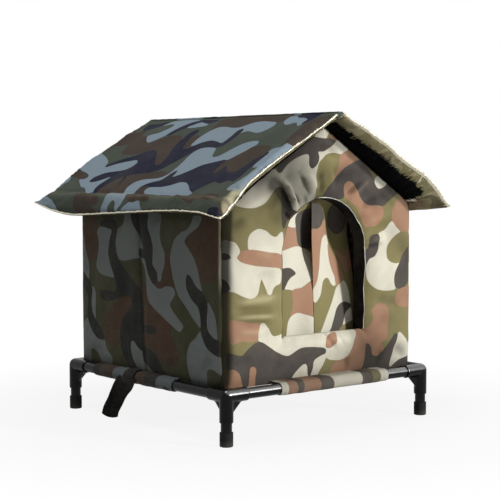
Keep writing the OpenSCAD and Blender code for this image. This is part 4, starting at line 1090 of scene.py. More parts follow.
# %% Left wall print
GREY, RUST, BLACK = 1, 2, 3
LEFT_PRINT = [
    # This first pale strip along the front edge is partly print and partly a painted highlight where the
    # rolled edge catches the sun.
    (GREY, -205, 318, -195, 318, -191, 300, -195, 276, -193, 250, -199, 225, -205, 190),
    (RUST, 155, 281, 153, 294, 144, 306, 136, 317, 122, 317, 116, 300, 110, 284, 111, 269, 117, 248,
     130, 241, 141, 242, 150, 266),
    (RUST, 96, 150, 77, 169, 55, 184, 36, 190, 20, 189, 19, 180, 33, 166, 48, 150, 52, 119, 77, 112,
     91, 119),
    (RUST, -67, 259, -82, 256, -85, 237, -92, 217, -86, 212, -70, 213, -54, 208, -40, 212, -32, 219,
     -44, 217, -55, 222, -61, 241, -65, 250),
    (RUST, -7, 212, -17, 212, -20, 197, -32, 183, -57, 169, -86, 156, -79, 147, -92, 131, -101, 116,
     -92, 100, -57, 103, -39, 117, -20, 120, -9, 131, -8, 175),
    (RUST, -115, 281, -132, 294, -148, 305, -156, 318, -184, 318, -197, 300, -195, 256, -186, 230,
     -151, 227, -145, 244, -134, 260, -123, 272),
    (GREY, 58, 251, 64, 272, 60, 291, 42, 300, 36, 317, 19, 317, 14, 305, 0, 292, -10, 267, 0, 266, -1,
     254, 17, 251, 39, 247),
    (GREY, -3, 252, -14, 252, -21, 241, -29, 225, -40, 212, -54, 208, -70, 213, -86, 212, -91, 205,
     -84, 197, -77, 187, -86, 177, -101, 166, -110, 159, -103, 151, -89, 156, -67, 166, -45, 177, -28, 187,
     -21, 200, -20, 219, -14, 241),
    (GREY, -23, 318, -55, 318, -52, 294, -56, 276, -65, 262, -65, 247, -59, 234, -55, 222, -50, 222,
     -46, 236, -36, 242, -35, 266, -29, 286, -21, 301),
    (GREY, -92, 283, -109, 294, -121, 298, -132, 308, -137, 318, -154, 318, -148, 306, -132, 297, -119,
     289, -115, 281, -123, 272, -136, 259, -145, 244, -151, 225, -155, 212, -139, 220, -128, 232, -120, 232,
     -118, 221, -128, 206, -146, 192, -154, 178, -154, 161, -139, 170, -120, 187, -101, 203, -90, 222, -84,
     241, -82, 259),
    (GREY, -169, 197, -178, 189, -186, 175, -190, 147, -179, 149, -168, 159, -164, 172, -169, 186),
    (GREY, -121, 117, -128, 134, -142, 144, -152, 154, -159, 142, -170, 131, -186, 124, -203, 123,
     -203, 98, -179, 105, -166, 100, -165, 84, -148, 81, -132, 83, -123, 98),
    (GREY, 114, 248, 109, 269, 114, 287, 105, 294, 74, 294, 77, 276, 82, 259, 78, 242, 65, 221, 83,
     220, 105, 223, 117, 233),
    (GREY, 156, 280, 149, 256, 141, 234, 141, 211, 150, 217, 157, 225),
    (GREY, 129, 199, 121, 191, 121, 169, 122, 148, 131, 162, 133, 180),
    (GREY, 158, 131, 147, 147, 139, 145, 128, 130, 113, 120, 98, 119, 89, 103, 75, 92, 84, 79, 100, 81,
     113, 95, 125, 102, 135, 101, 139, 81, 161, 79),
    (GREY, 23, 125, 14, 127, 3, 117, -9, 113, -11, 81, 6, 81, 18, 95, 24, 113),
    (GREY, -13, 96, -26, 91, -45, 83, -67, 80, -23, 79),
    (BLACK, 19, 319, -20, 319, -21, 300, -29, 284, -35, 268, -34, 244, -46, 231, -44, 217, -36, 217, -25,
     230, -18, 247, -14, 253, -1, 254, 0, 265, -11, 266, -1, 286, 11, 298, 17, 306),
    (BLACK, -121, 233, -131, 229, -142, 217, -159, 209, -168, 194, -166, 175, -168, 158, -182, 147, -200,
     141, -200, 124, -184, 126, -167, 134, -155, 152, -154, 173, -148, 190, -132, 200, -120, 216),
    (BLACK, 105, 299, 97, 305, 77, 307, 61, 304, 60, 291, 64, 273, 60, 253, 46, 237, 30, 226, 11, 212, -4,
     200, -8, 175, -7, 147, -9, 114, 3, 117, 14, 126, 22, 125, 24, 114, 19, 97, 6, 81, 24, 81, 36, 94, 46,
     109, 51, 131, 48, 150, 33, 166, 19, 180, 21, 191, 39, 192, 64, 186, 89, 181, 105, 185, 106, 194, 86,
     196, 66, 196, 60, 201, 64, 216, 77, 241, 82, 258, 78, 276, 72, 292, 89, 296),
    (BLACK, 157, 220, 146, 213, 136, 206, 131, 194, 133, 175, 130, 159, 119, 145, 102, 131, 97, 120, 113,
     120, 128, 129, 140, 145, 142, 162, 140, 180, 147, 194, 157, 203),
    (BLACK, -9, 118, -26, 115, -43, 109, -61, 89, -70, 81, -45, 83, -25, 91, -11, 97),
    (BLACK, -10, 150, -36, 151, -44, 145, -32, 141, -11, 142)]
print(len(LEFT_PRINT), "patches on the left wall")

# %% Side cover
CREASE_LEAN, CREASE_FOOT, CREASE_DEPTH = 0.077, 3.0, 1.5
SIDE_PAD, REAR_PAD, SIDE_LEAST = 4.6, 5.0, 0.2
COVER_BACK, SIDE_DROP, REAR_DROP = 0.05, 6.0, 4.6
SIDE_FOLDS = (
    (-180, 300, -150, 250, 8, 1.4), (-176, 230, -160, 170, 8, -1.4), (-120, 320, -110, 250, 10, 1.2),
    (-60, 325, -30, 300, 7, -1.6), (-28, 200, -18, 120, 7, 1.6), (-2, 330, 12, 270, 7, 1.6),
    (8, 200, 2, 110, 7, -1.2), (40, 326, 60, 280, 9, -1.4), (110, 100, 150, 90, 8, -1.6),
    (60, 90, 30, 110, 8, 1.4), (-60, 90, -100, 104, 8, -1.6), (-182, 120, -150, 96, 8, -1.8),
    (150, 320, 158, 240, 6, 1.4), (120, 230, 140, 180, 9, -1.2), (-90, 190, -60, 150, 10, 1.0))


def to_crease(y, z):
    """Distance from the leaning crease between a side wall's half boards."""
    return np.abs(y - mid_y - CREASE_FOOT - CREASE_LEAN * (z - foot_z))


def side_swell(y, z, seed):
    """How far a side wall's cover stands out: two pads beside the crease, with soft folds."""
    p = stacked(y, z)
    edge = nearest(y - front_y, rear_y - y, z - foot_z, TOP_Z - z)
    fold = to_crease(y, z)
    uneven = 0.9 * waves(p, 110, seed) + 0.45 * waves(p, 44, seed + 1) + 0.2 * waves(p, 20, seed + 2)
    swell = SIDE_PAD * growing(edge, 15) * (1 - 0.8 * bell(fold, 0, 11))
    swell = swell + growing(edge, 10) * (uneven + creases(p, SIDE_FOLDS))
    swell = swell - CREASE_DEPTH * bell(fold, 0, 2.2)
    return np.maximum(swell, SIDE_LEAST) - EDGE_SINK * (1 - rounded(edge, 8))


def side_painted_shading(y, z):
    """Painted shade along the foot, in the crease, under the roof and in the folds, half as much by the
    front corner, with a painted sunlit strip there."""
    painted_dark = 0.35 * waning(z - foot_z, 16) + 0.5 * bell(to_crease(y, z), 0, 4) + 0.3 * waning(TOP_Z - z, 25)
    painted_dark = painted_dark + 0.1 * np.clip(-creases(stacked(y, z), SIDE_FOLDS), 0, 3)
    painted_sun_strip = bell(y, front_y + 4.5, 2.6) * (0.1 + 0.3 * ramp(z - 205, 30) * ramp(TOP_Z - z, 20))
    return np.clip(np.where(y < front_y + 12, 0.5 * painted_dark, painted_dark) - painted_sun_strip, -0.45, 0.85)


def side_wall(side, seed):
    """Cover of a side wall over y and z, standing out along x."""
    shares = (np.linspace(0, 1, count) for count in (150, 104))
    share_y, share_z = (v - 0.05 * np.sin(2 * math.pi * v) for v in shares)
    y, z = grid(front_y + (rear_y - front_y) * share_y, foot_z + (TOP_Z - foot_z) * share_z)
    swell = side_swell(y, z, seed) + (1.3 * bell(z, 210, 120) if side == "right" else 0)
    low_z = z - hem_drop(y - mid_y, z, SIDE_DROP)
    front = stacked(TURN[side] * (half_w + swell), y, low_z)
    back_y = np.clip(y, front_board_y, rear_y - COVER_T)
    back = stacked(TURN[side] * (board_half_w + COVER_BACK), back_y, low_z)
    place = stacked(y, z)
    shifted = stacked(y + np.clip(swell, 0, 6) - 2.5, z)
    fields = printed(shifted, LEFT_PRINT) if side == "left" else wild_print(place, 21, size=105)
    # the side cover stores its painted shade and painted sunlit strip with its print
    cover = closed_form(f"{side}_cover_cloth", front, back, place, fields, side_painted_shading(y, z))
    dress(cover, shaded_side_cloth if side == "left" else sunlit_cloth, "house", f"{side}_cover")


side_wall("left", 31)
side_wall("right", 33)

# %% Rear cover
share_x, share_z = np.linspace(-1, 1, 151), np.linspace(0, 1, 110)
share_x = share_x + 0.04 * np.sin(math.pi * share_x)
share_z = share_z - 0.05 * np.sin(2 * math.pi * share_z)
x, share = grid(share_x * half_w, share_z)
z = foot_z + (gable_z(x) - foot_z) * share
edge = nearest(x + half_w, half_w - x, z - foot_z, to_slope(x, z))
p = stacked(x, z)
uneven = 1.2 * waves(p, 120, 35) + 0.5 * waves(p, 44, 36) + creases(p - [0, 20], SIDE_FOLDS)
swell = REAR_PAD * growing(edge, 18) + growing(edge, 12) * uneven - EDGE_SINK * (1 - rounded(edge, 9))
low_z = z - hem_drop(x, z, REAR_DROP)
front = stacked(x, rear_y + swell, low_z)
back = stacked(np.clip(x, -board_half_w, board_half_w), rear_y - COVER_T + COVER_BACK, low_z)
rear_cover = closed_form("rear_cover_cloth", front, back, p, wild_print(p, 51, size=115))
dress(rear_cover, sunlit_cloth, "house", "rear_cover")

# %% [markdown]
# ## Doorway
# The doorway's edge is bound with black tape through the whole wall. A thin pale piping lies between
# the tape and the cover. Both are sections carried round the doorway's outline.

# %% Doorway helpers
CORNER_R = 6.0


def door_line(spacing=3.0):
    """Points round the doorway and unit vectors into it: sill, right jamb, arch and left jamb, with
    small arcs at the sill's corners."""
    runs = []
    for turn in (1, -1):
        a = np.linspace(-math.pi / 2, 0, 7)
        centre = [door_x + turn * (arch_r - CORNER_R), sill_z + CORNER_R]
        arc = centre + CORNER_R * stacked(turn * np.cos(a), np.sin(a))
        jamb_z = np.arange(sill_z + CORNER_R + spacing, arch_z, spacing)
        jamb = stacked(0 * jamb_z + door_x + turn * arch_r, jamb_z)
        runs.append(np.concatenate([arc, jamb]))
    a = np.linspace(0, math.pi, round(math.pi * arch_r / spacing))
    arch = [door_x, arch_z] + arch_r * stacked(np.cos(a), np.sin(a))
    sill_x = np.arange(door_x - arch_r + CORNER_R + spacing, door_x + arch_r - CORNER_R, spacing)
    sill = stacked(sill_x, 0 * sill_x + sill_z)
    line = np.concatenate([runs[0], arch, runs[1][::-1], sill])
    way = unit(np.roll(line, -1, 0) - np.roll(line, 1, 0))
    return line, stacked(-way[:, 1], way[:, 0])


def ring_of_sections(name, line, inward, section):
    """Carries a closed section round a closed line; the section is an array with a row of points
    (distance inwards, y) for each point of the line."""
    flat = line[:, None] + inward[:, None] * section[..., :1]
    points = stacked(flat[..., 0], section[..., 1], flat[..., 1])
    rows, cols = points.shape[:2]
    i, j = grid(np.arange(rows), np.arange(cols))
    far, right = (i + 1) % rows * cols, (j + 1) % cols
    faces = stacked(i * cols + j, i * cols + right, far + right, far + j).reshape(-1, 4)
    walk = np.cumsum(np.linalg.norm(np.roll(line, -1, 0) - line, axis=1))
    around = np.cumsum(np.linalg.norm(np.roll(section[0], -1, 0) - section[0], axis=1))
    return add_mesh(name, points, faces, np.stack(grid(walk, around), -1))


# %% Fabric finishes for tapes


def ribbed(name, colour, pace, rough=0.8):
    """Woven tape: threads across its length, worn a little paler on the ribs."""
    material, tree, shader = finish(name, colour, rough, Specular_IOR_Level=0.03)
    ribs = threads(tree, pace)
    worn = use_group(tree, fading_group, Color=colour, Amount=0.06)
    paler = smooth_range(tree, ribs, 0.9, 1.5, 0.0, 0.1)
    feed(tree, shader, Base_Color=mix_colours(tree, paler, worn, srgb(60, 62, 70)))
    bump(tree, shader, (fine_creases(tree, 60.0), 0.25, 0.6), (ribs, 0.6, 0.3))
    return material


black_tape = ribbed("black_tape", srgb(13, 13, 15), 0.16)
webbing = ribbed("black_webbing", srgb(9, 10, 14), 0.3, 0.62)
pale_piping, tree, shader = finish("pale_piping", srgb(206, 204, 196), 0.35, 0.35)
bump(tree, shader, (fine_creases(tree, 150.0), 0.6, 0.6))

# %% [markdown]
# The tape's section starts at the cover's lip, goes through the wall to its inside and comes back.
# At the sill and the left jamb tape and piping lie deeper, as the padding rolls over them there.

# %% Binding and piping
LIP_SINK, PIPING_SINK = {"sill": 4.5, "left": 2.4}, {"sill": 6.0, "left": 3.6}
TAPE_IN = np.array((-0.5, 0.0, 0.5, 1.0, 1.1, 1.3, 1.2, 0.2, -3.0, -3.0, 0.1, 0.2, 0.2, 0.0, -0.6))
FROM_LIP = (0.3, -0.5, -0.7, -0.3, 0.9)
FROM_BACK = (-0.6, 0.1, 0.25, 0.25, -0.1, -0.3, -1.6)
TO_LIP = (1.6, 0.7, 0.5)
PIPING_R, PIPING_OUT = 0.5, 0.9
line, inward = door_line()
wobble = waves(line, 40, 71)[:, None]
at_sill = ramp(inward[:, 1] - 0.3, 0.5)
at_left = ramp(inward[:, 0] + 0.05, 0.4) * (1 - at_sill)


def cover_lip(outwards):
    """Depth y of the front cover's surface a little outside the doorway's line."""
    return front_y - front_swell(*(line - inward * outwards).T)


lip = (cover_lip(1.5) + LIP_SINK["sill"] * at_sill + LIP_SINK["left"] * at_left)[:, None]
inner_side = np.full_like(lip, front_inside_y)
deep = np.concatenate([lip + FROM_LIP, inner_side + FROM_BACK, lip + TO_LIP], 1)
tape = ring_of_sections("door_binding_tape", line, inward, stacked(TAPE_IN + 0.15 * wobble, deep))
dress(tape, black_tape, "house", "door_binding")

a = np.linspace(0, 2 * math.pi, 9)[:-1]
piping_y = (cover_lip(1.8) - 0.1 + PIPING_SINK["sill"] * at_sill + PIPING_SINK["left"] * at_left)[:, None]
piping_r = PIPING_R + 0.1 * wobble
section = stacked(-PIPING_OUT + piping_r * np.cos(a) + 0.15 * wobble, piping_y + piping_r * np.sin(a))
piping = ring_of_sections("door_piping", line, inward, section)
dress(piping, pale_piping, "house")

# %% [markdown]
# ### Flaps
# Two strips of printed cloth hang from a header behind the arch, with a slit between them. Each is a
# grid over its width and height; its depth is a few soft folds that deepen downwards.

# %% Flap prints
FLAP_PRINT = {"left": [
    (TAN, -54, 289, -47, 302, -30, 301, -24, 270, -58, 267), (CREAM, -47, 303, -42, 317, -28, 319, -30, 301),
    (CREAM, -70, 256, -48, 267, -24, 269, 8, 251, 8, 217, -10, 211, -30, 205, -70, 202),
    (DARK, -64, 235, -52, 239, -42, 238, -33, 231, -41, 227, -48, 221, -54, 212, -62, 204),
    (0, -66, 202, -39, 205, -37, 189, -42, 171, -47, 162, -50, 142, -66, 142),
    (TAN, -38, 205, -20, 208, 8, 217, 8, 160, -2, 163, -20, 170, -32, 171, -42, 166, -37, 185),
    (CREAM, -51, 128, -50, 141, -47, 159, -41, 167, -30, 171, -18, 169, 8, 159, 8, 128),
    # This dark patch at the top by the slit is painted shade cast by the right flap's edge.
    (DARK, -29, 317, 2, 325, 4, 271, -24, 271, -30, 297)], "right": [
    (DARK, -6, 294, -6, 333, 10, 333, 24, 325, 31, 317, 34, 308, 22, 299, 10, 295),
    (TAN, -6, 293, 10, 295, 22, 299, 35, 309, 43, 293, 47, 284, 38, 285, 29, 283, 23, 275, 20, 259, 18, 241,
     11, 217, 6, 207, -2, 215, -5, 255),
    (CREAM, 24, 277, 30, 283, 39, 285, 48, 282, 50, 270, 47, 259, 48, 245, 52, 232, 59, 221, 59, 210, 53,
     206, 46, 212, 39, 219, 32, 220, 26, 215, 22, 204, 18, 194, 8, 183, 0, 183, 2, 201, 12, 217, 18, 241, 20,
     261),
    (TAN, 50, 270, 60, 255, 67, 245, 73, 227, 77, 213, 68, 209, 62, 207, 60, 215, 59, 222, 53, 232, 48, 245,
     47, 259),
    (0, 2, 183, 9, 184, 19, 195, 23, 206, 27, 216, 35, 220, 41, 218, 46, 211, 54, 206, 60, 207, 57, 198, 48,
     184, 38, 168, 28, 151, 18, 138, 0, 130),
    (CREAM, 18, 130, 30, 154, 40, 170, 51, 187, 60, 202, 70, 210, 77, 213, 84, 195, 85, 147, 62, 142, 59,
     128),
    (DARK, 34, 130, 44, 143, 50, 156, 57, 171, 66, 179, 75, 181, 86, 177, 83, 173, 74, 167, 70, 158, 66, 148,
     61, 141, 59, 128),
    (0, 62, 141, 70, 146, 92, 152, 92, 128, 60, 128), (DARK, 52, 330, 60, 300, 74, 286, 92, 300, 92, 350),
    (TAN, 66, 262, 84, 250, 94, 262, 94, 236, 82, 226, 76, 240)]}

# %% Flaps
SLIT_TOP, SLIT_FOOT, SLIT_GAP, SIGHT = -1.5, 4.5, 1.3, 0.76
FLAP_T, FLAP_CLEAR = 0.9, 0.4
flap_low, flap_high = box("flap_left")[0], box("flap_right")[1]


def flap(side):
    """A flap over its share from the slit to the outer edge and its share upwards; y is its depth.
    The left one is pushed in beside the slit, behind the right one's edge; the right one is pushed
    in under the arch."""
    turn = TURN[side]
    u, v = grid(np.linspace(0, 1, 44), np.linspace(0, 1, 96))
    z = flap_low[2] + (flap_high[2] - flap_low[2]) * v
    slit = SLIT_FOOT + (SLIT_TOP - SLIT_FOOT) * v + turn * SLIT_GAP / 2 + 0.5 * np.sin(5 * v + turn)
    outer = flap_low[0] if side == "left" else flap_high[0]
    hung = ramp(flap_high[2] - z, 30) ** 0.8
    if side == "left":
        back = 25 * bell(u, 0, 0.36) * bell(z, 285, 50) * hung + 1.6 * hung * (1 - np.cos(9 * u))
        slit = slit + SIGHT * back[:1]
    else:
        back = (26 * bell(z, 302, 55) + 9 * bell(z, 215, 60)) * ramp(u - 0.12, 0.5) ** 1.4 * hung
        back = back + 1.2 * (1 - np.cos(7 * u)) * hung
    x = slit + (outer - slit) * u
    p = stacked(np.where(u < 1, x - SIGHT * back * (side == "left"), x), z)
    nearest_y = flap_low[1] + FLAP_CLEAR
    y = np.maximum(nearest_y + back + hung * (0.6 * waves(p, 50, 81, 5) + 0.6), nearest_y)
    sheet = thick_sheet(f"flap_{side}_cloth", stacked(x, y, z), -FLAP_T, p,
                        printed(p, FLAP_PRINT[side]))
    dress(sheet, sunlit_cloth, f"flap_{side}", f"flap_{side}")


for side in SIDES:
    flap(side)

# %% [markdown]
# ## Strips: header, grip tapes and ridge
# Flat strips are thin closed sheets over a grid of two lengths. The grip tapes' hook halves hang a
# little loose at the front, with a fuzzy edge.

# %% Header
INNER_COLOURS = srgb(70, 70, 56), srgb(96, 97, 92), srgb(72, 58, 50), srgb(44, 42, 42)
inner_cloth = camouflage("inner_camouflage", INNER_COLOURS)
low, high = box("flap_header")
x, z = grid(np.linspace(low[0], high[0], 70), np.linspace(low[2], high[2], 12))
p = stacked(x, z)
bulge = 2.2 * np.sin(math.pi * (z - low[2]) / (high[2] - low[2])) ** 0.5 + 0.2 * waves(p, 30, 91)
header = thick_sheet("flap_header_cloth", stacked(x, low[1] + np.clip(bulge, 0.3, 2.8), z), -0.3,
                     p, wild_print(p, 92, size=60))
dress(header, inner_cloth, "house", "flap_header")

# %% Grip tape
grip, tree, shader = finish("grip_tape", srgb(12, 12, 13), 0.95, Specular_IOR_Level=0.03)
fuzz = noise(tree, coordinates(tree, "UV"), 1400.0, 3.0, 0.8)
paler = smooth_range(tree, fuzz, 0.45, 0.8, 0.0, 0.5)
feed(tree, shader, Base_Color=mix_colours(tree, paler, srgb(9, 9, 10), srgb(34, 34, 37)))
bump(tree, shader, (fine_creases(tree, 60.0), 0.3, 1.0), (fuzz, 1.0, 0.9))


def down_slope(x, z):
    """Way down the slope of a place x, z."""
    return x * COS + (roof_z - z) * SIN


hook_low, hook_high = box("hook_tape_right_front")
tape_start = down_slope(hook_low[0], hook_high[2])
tape_end = (hook_high[0] + 2 * SIN) / COS
STRIP_T, LOOSE_END, DRAWN_IN = 1.2, 150, 7


def hook_tape(side, end):
    """Hook half under a roof panel: a strip down the slope, its outer edge a little loose."""
    low, high = box(f"hook_tape_{side}_{end}")
    s, y = grid(np.linspace(tape_start + 0.5, tape_end, 100), np.linspace(low[1], high[1], 26))
    p = stacked(s, y)
    outer = ramp(np.abs(y) - 190, 25)
    t = roof_heights(side, s, y)[1] - 2.7 - 0.15 * (1 + waves(p, 30, 95))
    t = t - outer * 0.4 * (1 + np.sin(s / 11))
    t = np.where(np.abs(y) < board_half_l, np.maximum(t, -0.35), t)
    drawn = np.sign(y) * DRAWN_IN * ramp(LOOSE_END - s, LOOSE_END)
    y = y + (1.8 * waves(p * [1, 0], 13, 96) - drawn) * outer
    s = s + 5 * ramp(s - tape_end + 20, 20) * (1 + waves(p * [0, 1], 12, 94))
    made = thick_sheet(f"hook_strip_{side}_{end}", on_roof(side, s, y, t), -TURN[side] * STRIP_T, p)
    dress(made, grip, f"roof_{side}", f"hook_tape_{side}_{end}")


for side in SIDES:
    for end in ENDS:
        hook_tape(side, end)

# %% Hook tape's fibres
FIBRES, AT_EDGE = 420, 0.86


def hairs(side, end):
    """Loose fibres on a hook strip's outer edge and lower end: square needles from seeded places,
    with seeded lengths and directions, joined in one mesh."""
    rng = np.random.default_rng(120 + len(side) + len(end))
    turn = TURN[end]
    edge_y = box(f"hook_tape_{side}_{end}")[ENDS.index(end)][1]
    share, inward = rng.uniform(0, 1, FIBRES), 16 * rng.uniform(0, 1, FIBRES) ** 2
    at_end = share > AT_EDGE
    s = np.where(at_end, tape_end + 2, tape_start + 4 + (tape_end - tape_start - 4) * share / AT_EDGE)
    y = np.where(at_end, edge_y - turn * rng.uniform(0, 40, FIBRES), edge_y - turn * inward)
    y = y - turn * DRAWN_IN * ramp(LOOSE_END - s, LOOSE_END)
    length = rng.uniform(3, 9, FIBRES)
    way = rng.normal(0.5, 0.6, FIBRES)
    tip_s = s + length * np.where(at_end, 1, np.sin(way))
    tip_y = y + turn * length * np.where(at_end, 0.5 * np.sin(way), np.cos(way) * 0.9)
    tip_s, tip_y = np.minimum(tip_s, 258), np.clip(tip_y, -roof_half_l + 3, roof_half_l - 3)
    root = on_roof(side, s, y, roof_heights(side, s, y)[1] - 3.0)
    tip_t = roof_heights(side, tip_s, tip_y)[1] - rng.uniform(2.6, 5.0, FIBRES)
    tip = on_roof(side, tip_s, tip_y, tip_t)
    along = tip - root
    across = unit(np.cross(along, rng.normal(0, 1, (FIBRES, 3))))
    up = unit(np.cross(along, across))
    wide = rng.uniform(0.3, 0.8, (FIBRES, 1))
    ring = [wide * (a * across + b * up) for a, b in ((1, 1), (1, -1), (-1, -1), (-1, 1))]
    corners = [root + corner for corner in ring] + [tip + 0.2 * corner for corner in ring]
    quads = np.array([(0, 1, 2, 3), (7, 6, 5, 4), (0, 4, 5, 1), (1, 5, 6, 2), (2, 6, 7, 3), (3, 7, 4, 0)])
    faces = (quads[None] + 8 * np.arange(FIBRES)[:, None, None]).reshape(-1, 4)
    made = add_mesh(f"hook_hairs_{side}_{end}", np.stack(corners, 1), faces)
    dress(made, grip, f"roof_{side}")


for side in SIDES:
    for end in ENDS:
        hairs(side, end)

# %% Loop tape


def loop_tape(end):
    """Loop half along a gable's top edge: a strip down each slope, following the wall's top."""
    low, high = box(f"loop_tape_{end}")
    walk, y = grid(np.linspace(-1, 1, 161), np.linspace(low[1] + 0.1, high[1] - 0.1, 12))
    s = tape_start + 0.5 + (tape_end - tape_start - 0.5) * np.abs(walk)
    p = stacked(s * np.sign(walk), y)
    t = -2.5 - 0.15 * (1 + waves(p, 20, 97))
    for side, rows in (("left", slice(0, 80)), ("right", slice(81, 161))):
        points = on_roof(side, s[rows], y[rows], t[rows])
        made = thick_sheet(f"loop_strip_{end}_{side}", points, 1.4, p[rows])
        dress(made, grip, "house", f"loop_tape_{end}")


for end in ENDS:
    loop_tape(end)

# %% Ridge fold
FOLD_R, FOLD_FLAT = 1.9, 10.5
low, high = box("ridge_fold")
turn, y = grid(np.linspace(0, 2 * math.pi, 17), np.linspace(low[1], high[1], 190))
p = stacked(y, 3 * turn)
radius = FOLD_R + 0.25 * waves(p, 26, 98)
tent = radius * (1 + 0.5 * np.maximum(-np.cos(turn), 0))
points = stacked(tent * np.sin(turn), y, ridge_z + radius * np.cos(turn) - 0.2)
core = stacked(0.2 * np.sin(turn), y, ridge_z + 0.2 * np.cos(turn))
fields = printed(stacked(y, 3.5), LEFT_ROOF_PRINT)
ridge = closed_form("ridge_fold_cloth", points, core, p, fields)
dress(ridge, skylit_roof_cloth, "roof_ridge", "ridge_fold")

# %% [markdown]
# ## Linings and floor
# Foil lines the walls and the floor; cloth closes the floor from below. Each is a crumpled sheet.

# %% Linings
TAB, GABLE_H, GABLE_MEAN_H, FRONT_FOIL_AREA = 11.5, 371, 310, 0.078


def crumpled(places, seed, depth=0.35):
    """Small ridged unevenness of a foil sheet."""
    return depth * (waves(places, 34, seed, folded=True) + 0.6 * waves(places, 15, seed + 1, folded=True))


def foil_lining(name, places, to_points):
    """A foil sheet over places of a wall or the floor, standing for its lining node."""
    made = thick_sheet(f"{name}_foil", to_points(crumpled(places, len(name))), 0.4, places)
    dress(made, foil, "house", name)


for side in SIDES:
    low, high = box(f"{side}_lining")
    y, z = grid(np.linspace(low[1], high[1], 90), np.linspace(low[2] + TAB, high[2], 70))
    foil_lining(f"{side}_lining", stacked(y, z),
                lambda rough: stacked(TURN[side] * (lining_half_w - 0.5 - rough), y, z))

x, share = grid(np.linspace(-1, 1, 90) * (lining_half_w - 1), np.linspace(0, 1, 80))
z = foot_z + (gable_z(x) - 1 - foot_z) * share
foil_lining("rear_lining", stacked(x, z),
            lambda rough: stacked(x, rear_board_y - 0.5 - rough, z))

place = front_grid(6.0, 26, lining_half_w - 1)
front_side = stacked(place[..., 0], front_lining_y + 0.5 + crumpled(place, 15), place[..., 1])
made = closed_form("front_lining_foil", front_side, front_side - [0, 0.4, 0], place, ring=True)
dress(made, foil, "house", "front_lining")

low, high = box("floor_lining")
x, y = grid(*(np.linspace(low[k] + 0.5, high[k] - 0.5, 90) for k in (0, 1)))
foil_lining("floor_lining", stacked(x, y),
            lambda rough: stacked(x, y, low[2] + 0.6 + rough))

# %% Floor cloth
low, high = box("floor_cloth")
x, y = grid(*(np.linspace(low[k] + 4, high[k] - 4, 120) for k in (0, 1)))
p = stacked(x, y)
z = low[2] + 0.9 - 0.35 * (1 + waves(p, 90, 101))
under_cloth = thick_sheet("floor_cloth_sheet", stacked(x, y, z), 0.6, p, wild_print(p, 102, size=115))
dress(under_cloth, inner_cloth, "house", "floor_cloth")

# %% [markdown]
# ## Frame
# The tubes keep their CAD solids with a powder coat. The corner fittings are moulded: a copy of each
# solid is remeshed finely and smoothed, which rounds the webs and sockets into each other. Both carry
# a painted highlight: more gloss on their upper front, where the sun's reflection falls.

# %% Frame finishes
PAINTED_HIGHLIGHT_SIDE = (0.0, -0.7, 0.7)


def painted_highlight(tree, shader, low, coat):
    """Painted highlight: more gloss and coat where the surface faces forwards and up, by the dot product with
    that direction.
    """
    facing = node(tree, "VectorMath", {"operation": "DOT_PRODUCT"}, _0=coordinates(tree, "Normal"),
                  _1=PAINTED_HIGHLIGHT_SIDE).outputs["Value"]
    feed(tree, shader, Specular_IOR_Level=smooth_range(tree, facing, 0.74, 0.95, low, 1.0),
         Coat_Weight=smooth_range(tree, facing, 0.76, 0.93, 0.0, coat), Coat_Roughness=0.3, Coat_IOR=2.0)


powder, tree, shader = finish("powder_coat", srgb(9, 9, 11), 0.3, Specular_IOR_Level=0.16)
place = coordinates(tree, "Object")
cloud = noise(tree, place, 60.0, 4.0)
feed(tree, shader, Roughness=smooth_range(tree, cloud, 0.3, 0.7, 0.2, 0.3),
     Base_Color=mix_colours(tree, cloud, srgb(6, 6, 8), srgb(12, 12, 14)))
bump(tree, shader, (noise(tree, place, 900.0), 0.2, 0.08))
painted_highlight(tree, shader, 0.14, 1.0)

moulded, tree, shader = finish("moulded_plastic", srgb(8, 8, 10), 0.26, Specular_IOR_Level=0.14)
place = coordinates(tree, "Object")
scuff = noise(tree, place, 90.0, 6.0, 0.7)
worn = smooth_range(tree, scuff, 0.45, 0.8)
feed(tree, shader, Roughness=smooth_range(tree, scuff, 0.4, 0.75, 0.22, 0.38),
     Base_Color=mix_colours(tree, worn, srgb(6, 6, 8), srgb(16, 16, 18)))
bump(tree, shader, (noise(tree, place, 1300.0, 3.0), 0.25, 0.08))
painted_highlight(tree, shader, 0.12, 0.5)

rubber, tree, shader = finish("foot_rubber", srgb(34, 34, 34), 0.8, Specular_IOR_Level=0.1)
place = coordinates(tree, "Object")
height = node(tree, "SeparateXYZ", Vector=place).outputs[2]
near_floor = smooth_range(tree, height, 0.0, 0.012, 1.0, 0.0)
dust = math_node(tree, "MULTIPLY", near_floor, noise(tree, place, 120.0, 5.0))
feed(tree, shader, Base_Color=mix_colours(tree, dust, srgb(36, 36, 36), srgb(84, 80, 73)))
bump(tree, shader, (noise(tree, place, 800.0, 3.0), 0.5, 0.2))

foam, tree, shader = finish("board_foam", srgb(222, 220, 210), 0.9)
cells = node(tree, "TexVoronoi", Vector=coordinates(tree, "Object"), Scale=420.0).outputs["Distance"]
feed(tree, shader, Base_Color=mix_colours(tree, cells, srgb(206, 203, 190), srgb(228, 226, 217)))
bump(tree, shader, (cells, 0.5, 0.4))

# %% Refinish the CAD nodes
for name, piece in frame["nodes"].items():
    for words, material in ((("rail", "leg"), powder), (("foot",), rubber)):
        if name.startswith(words):
            piece.data.materials.clear()
            piece.data.materials.append(material)
    if "board" in name:
        piece.data.materials.clear()
        piece.data.materials.append(foam)

# %% Corner fittings
WELD, VOXEL, SMOOTHINGS = 0.02, 0.9, 16


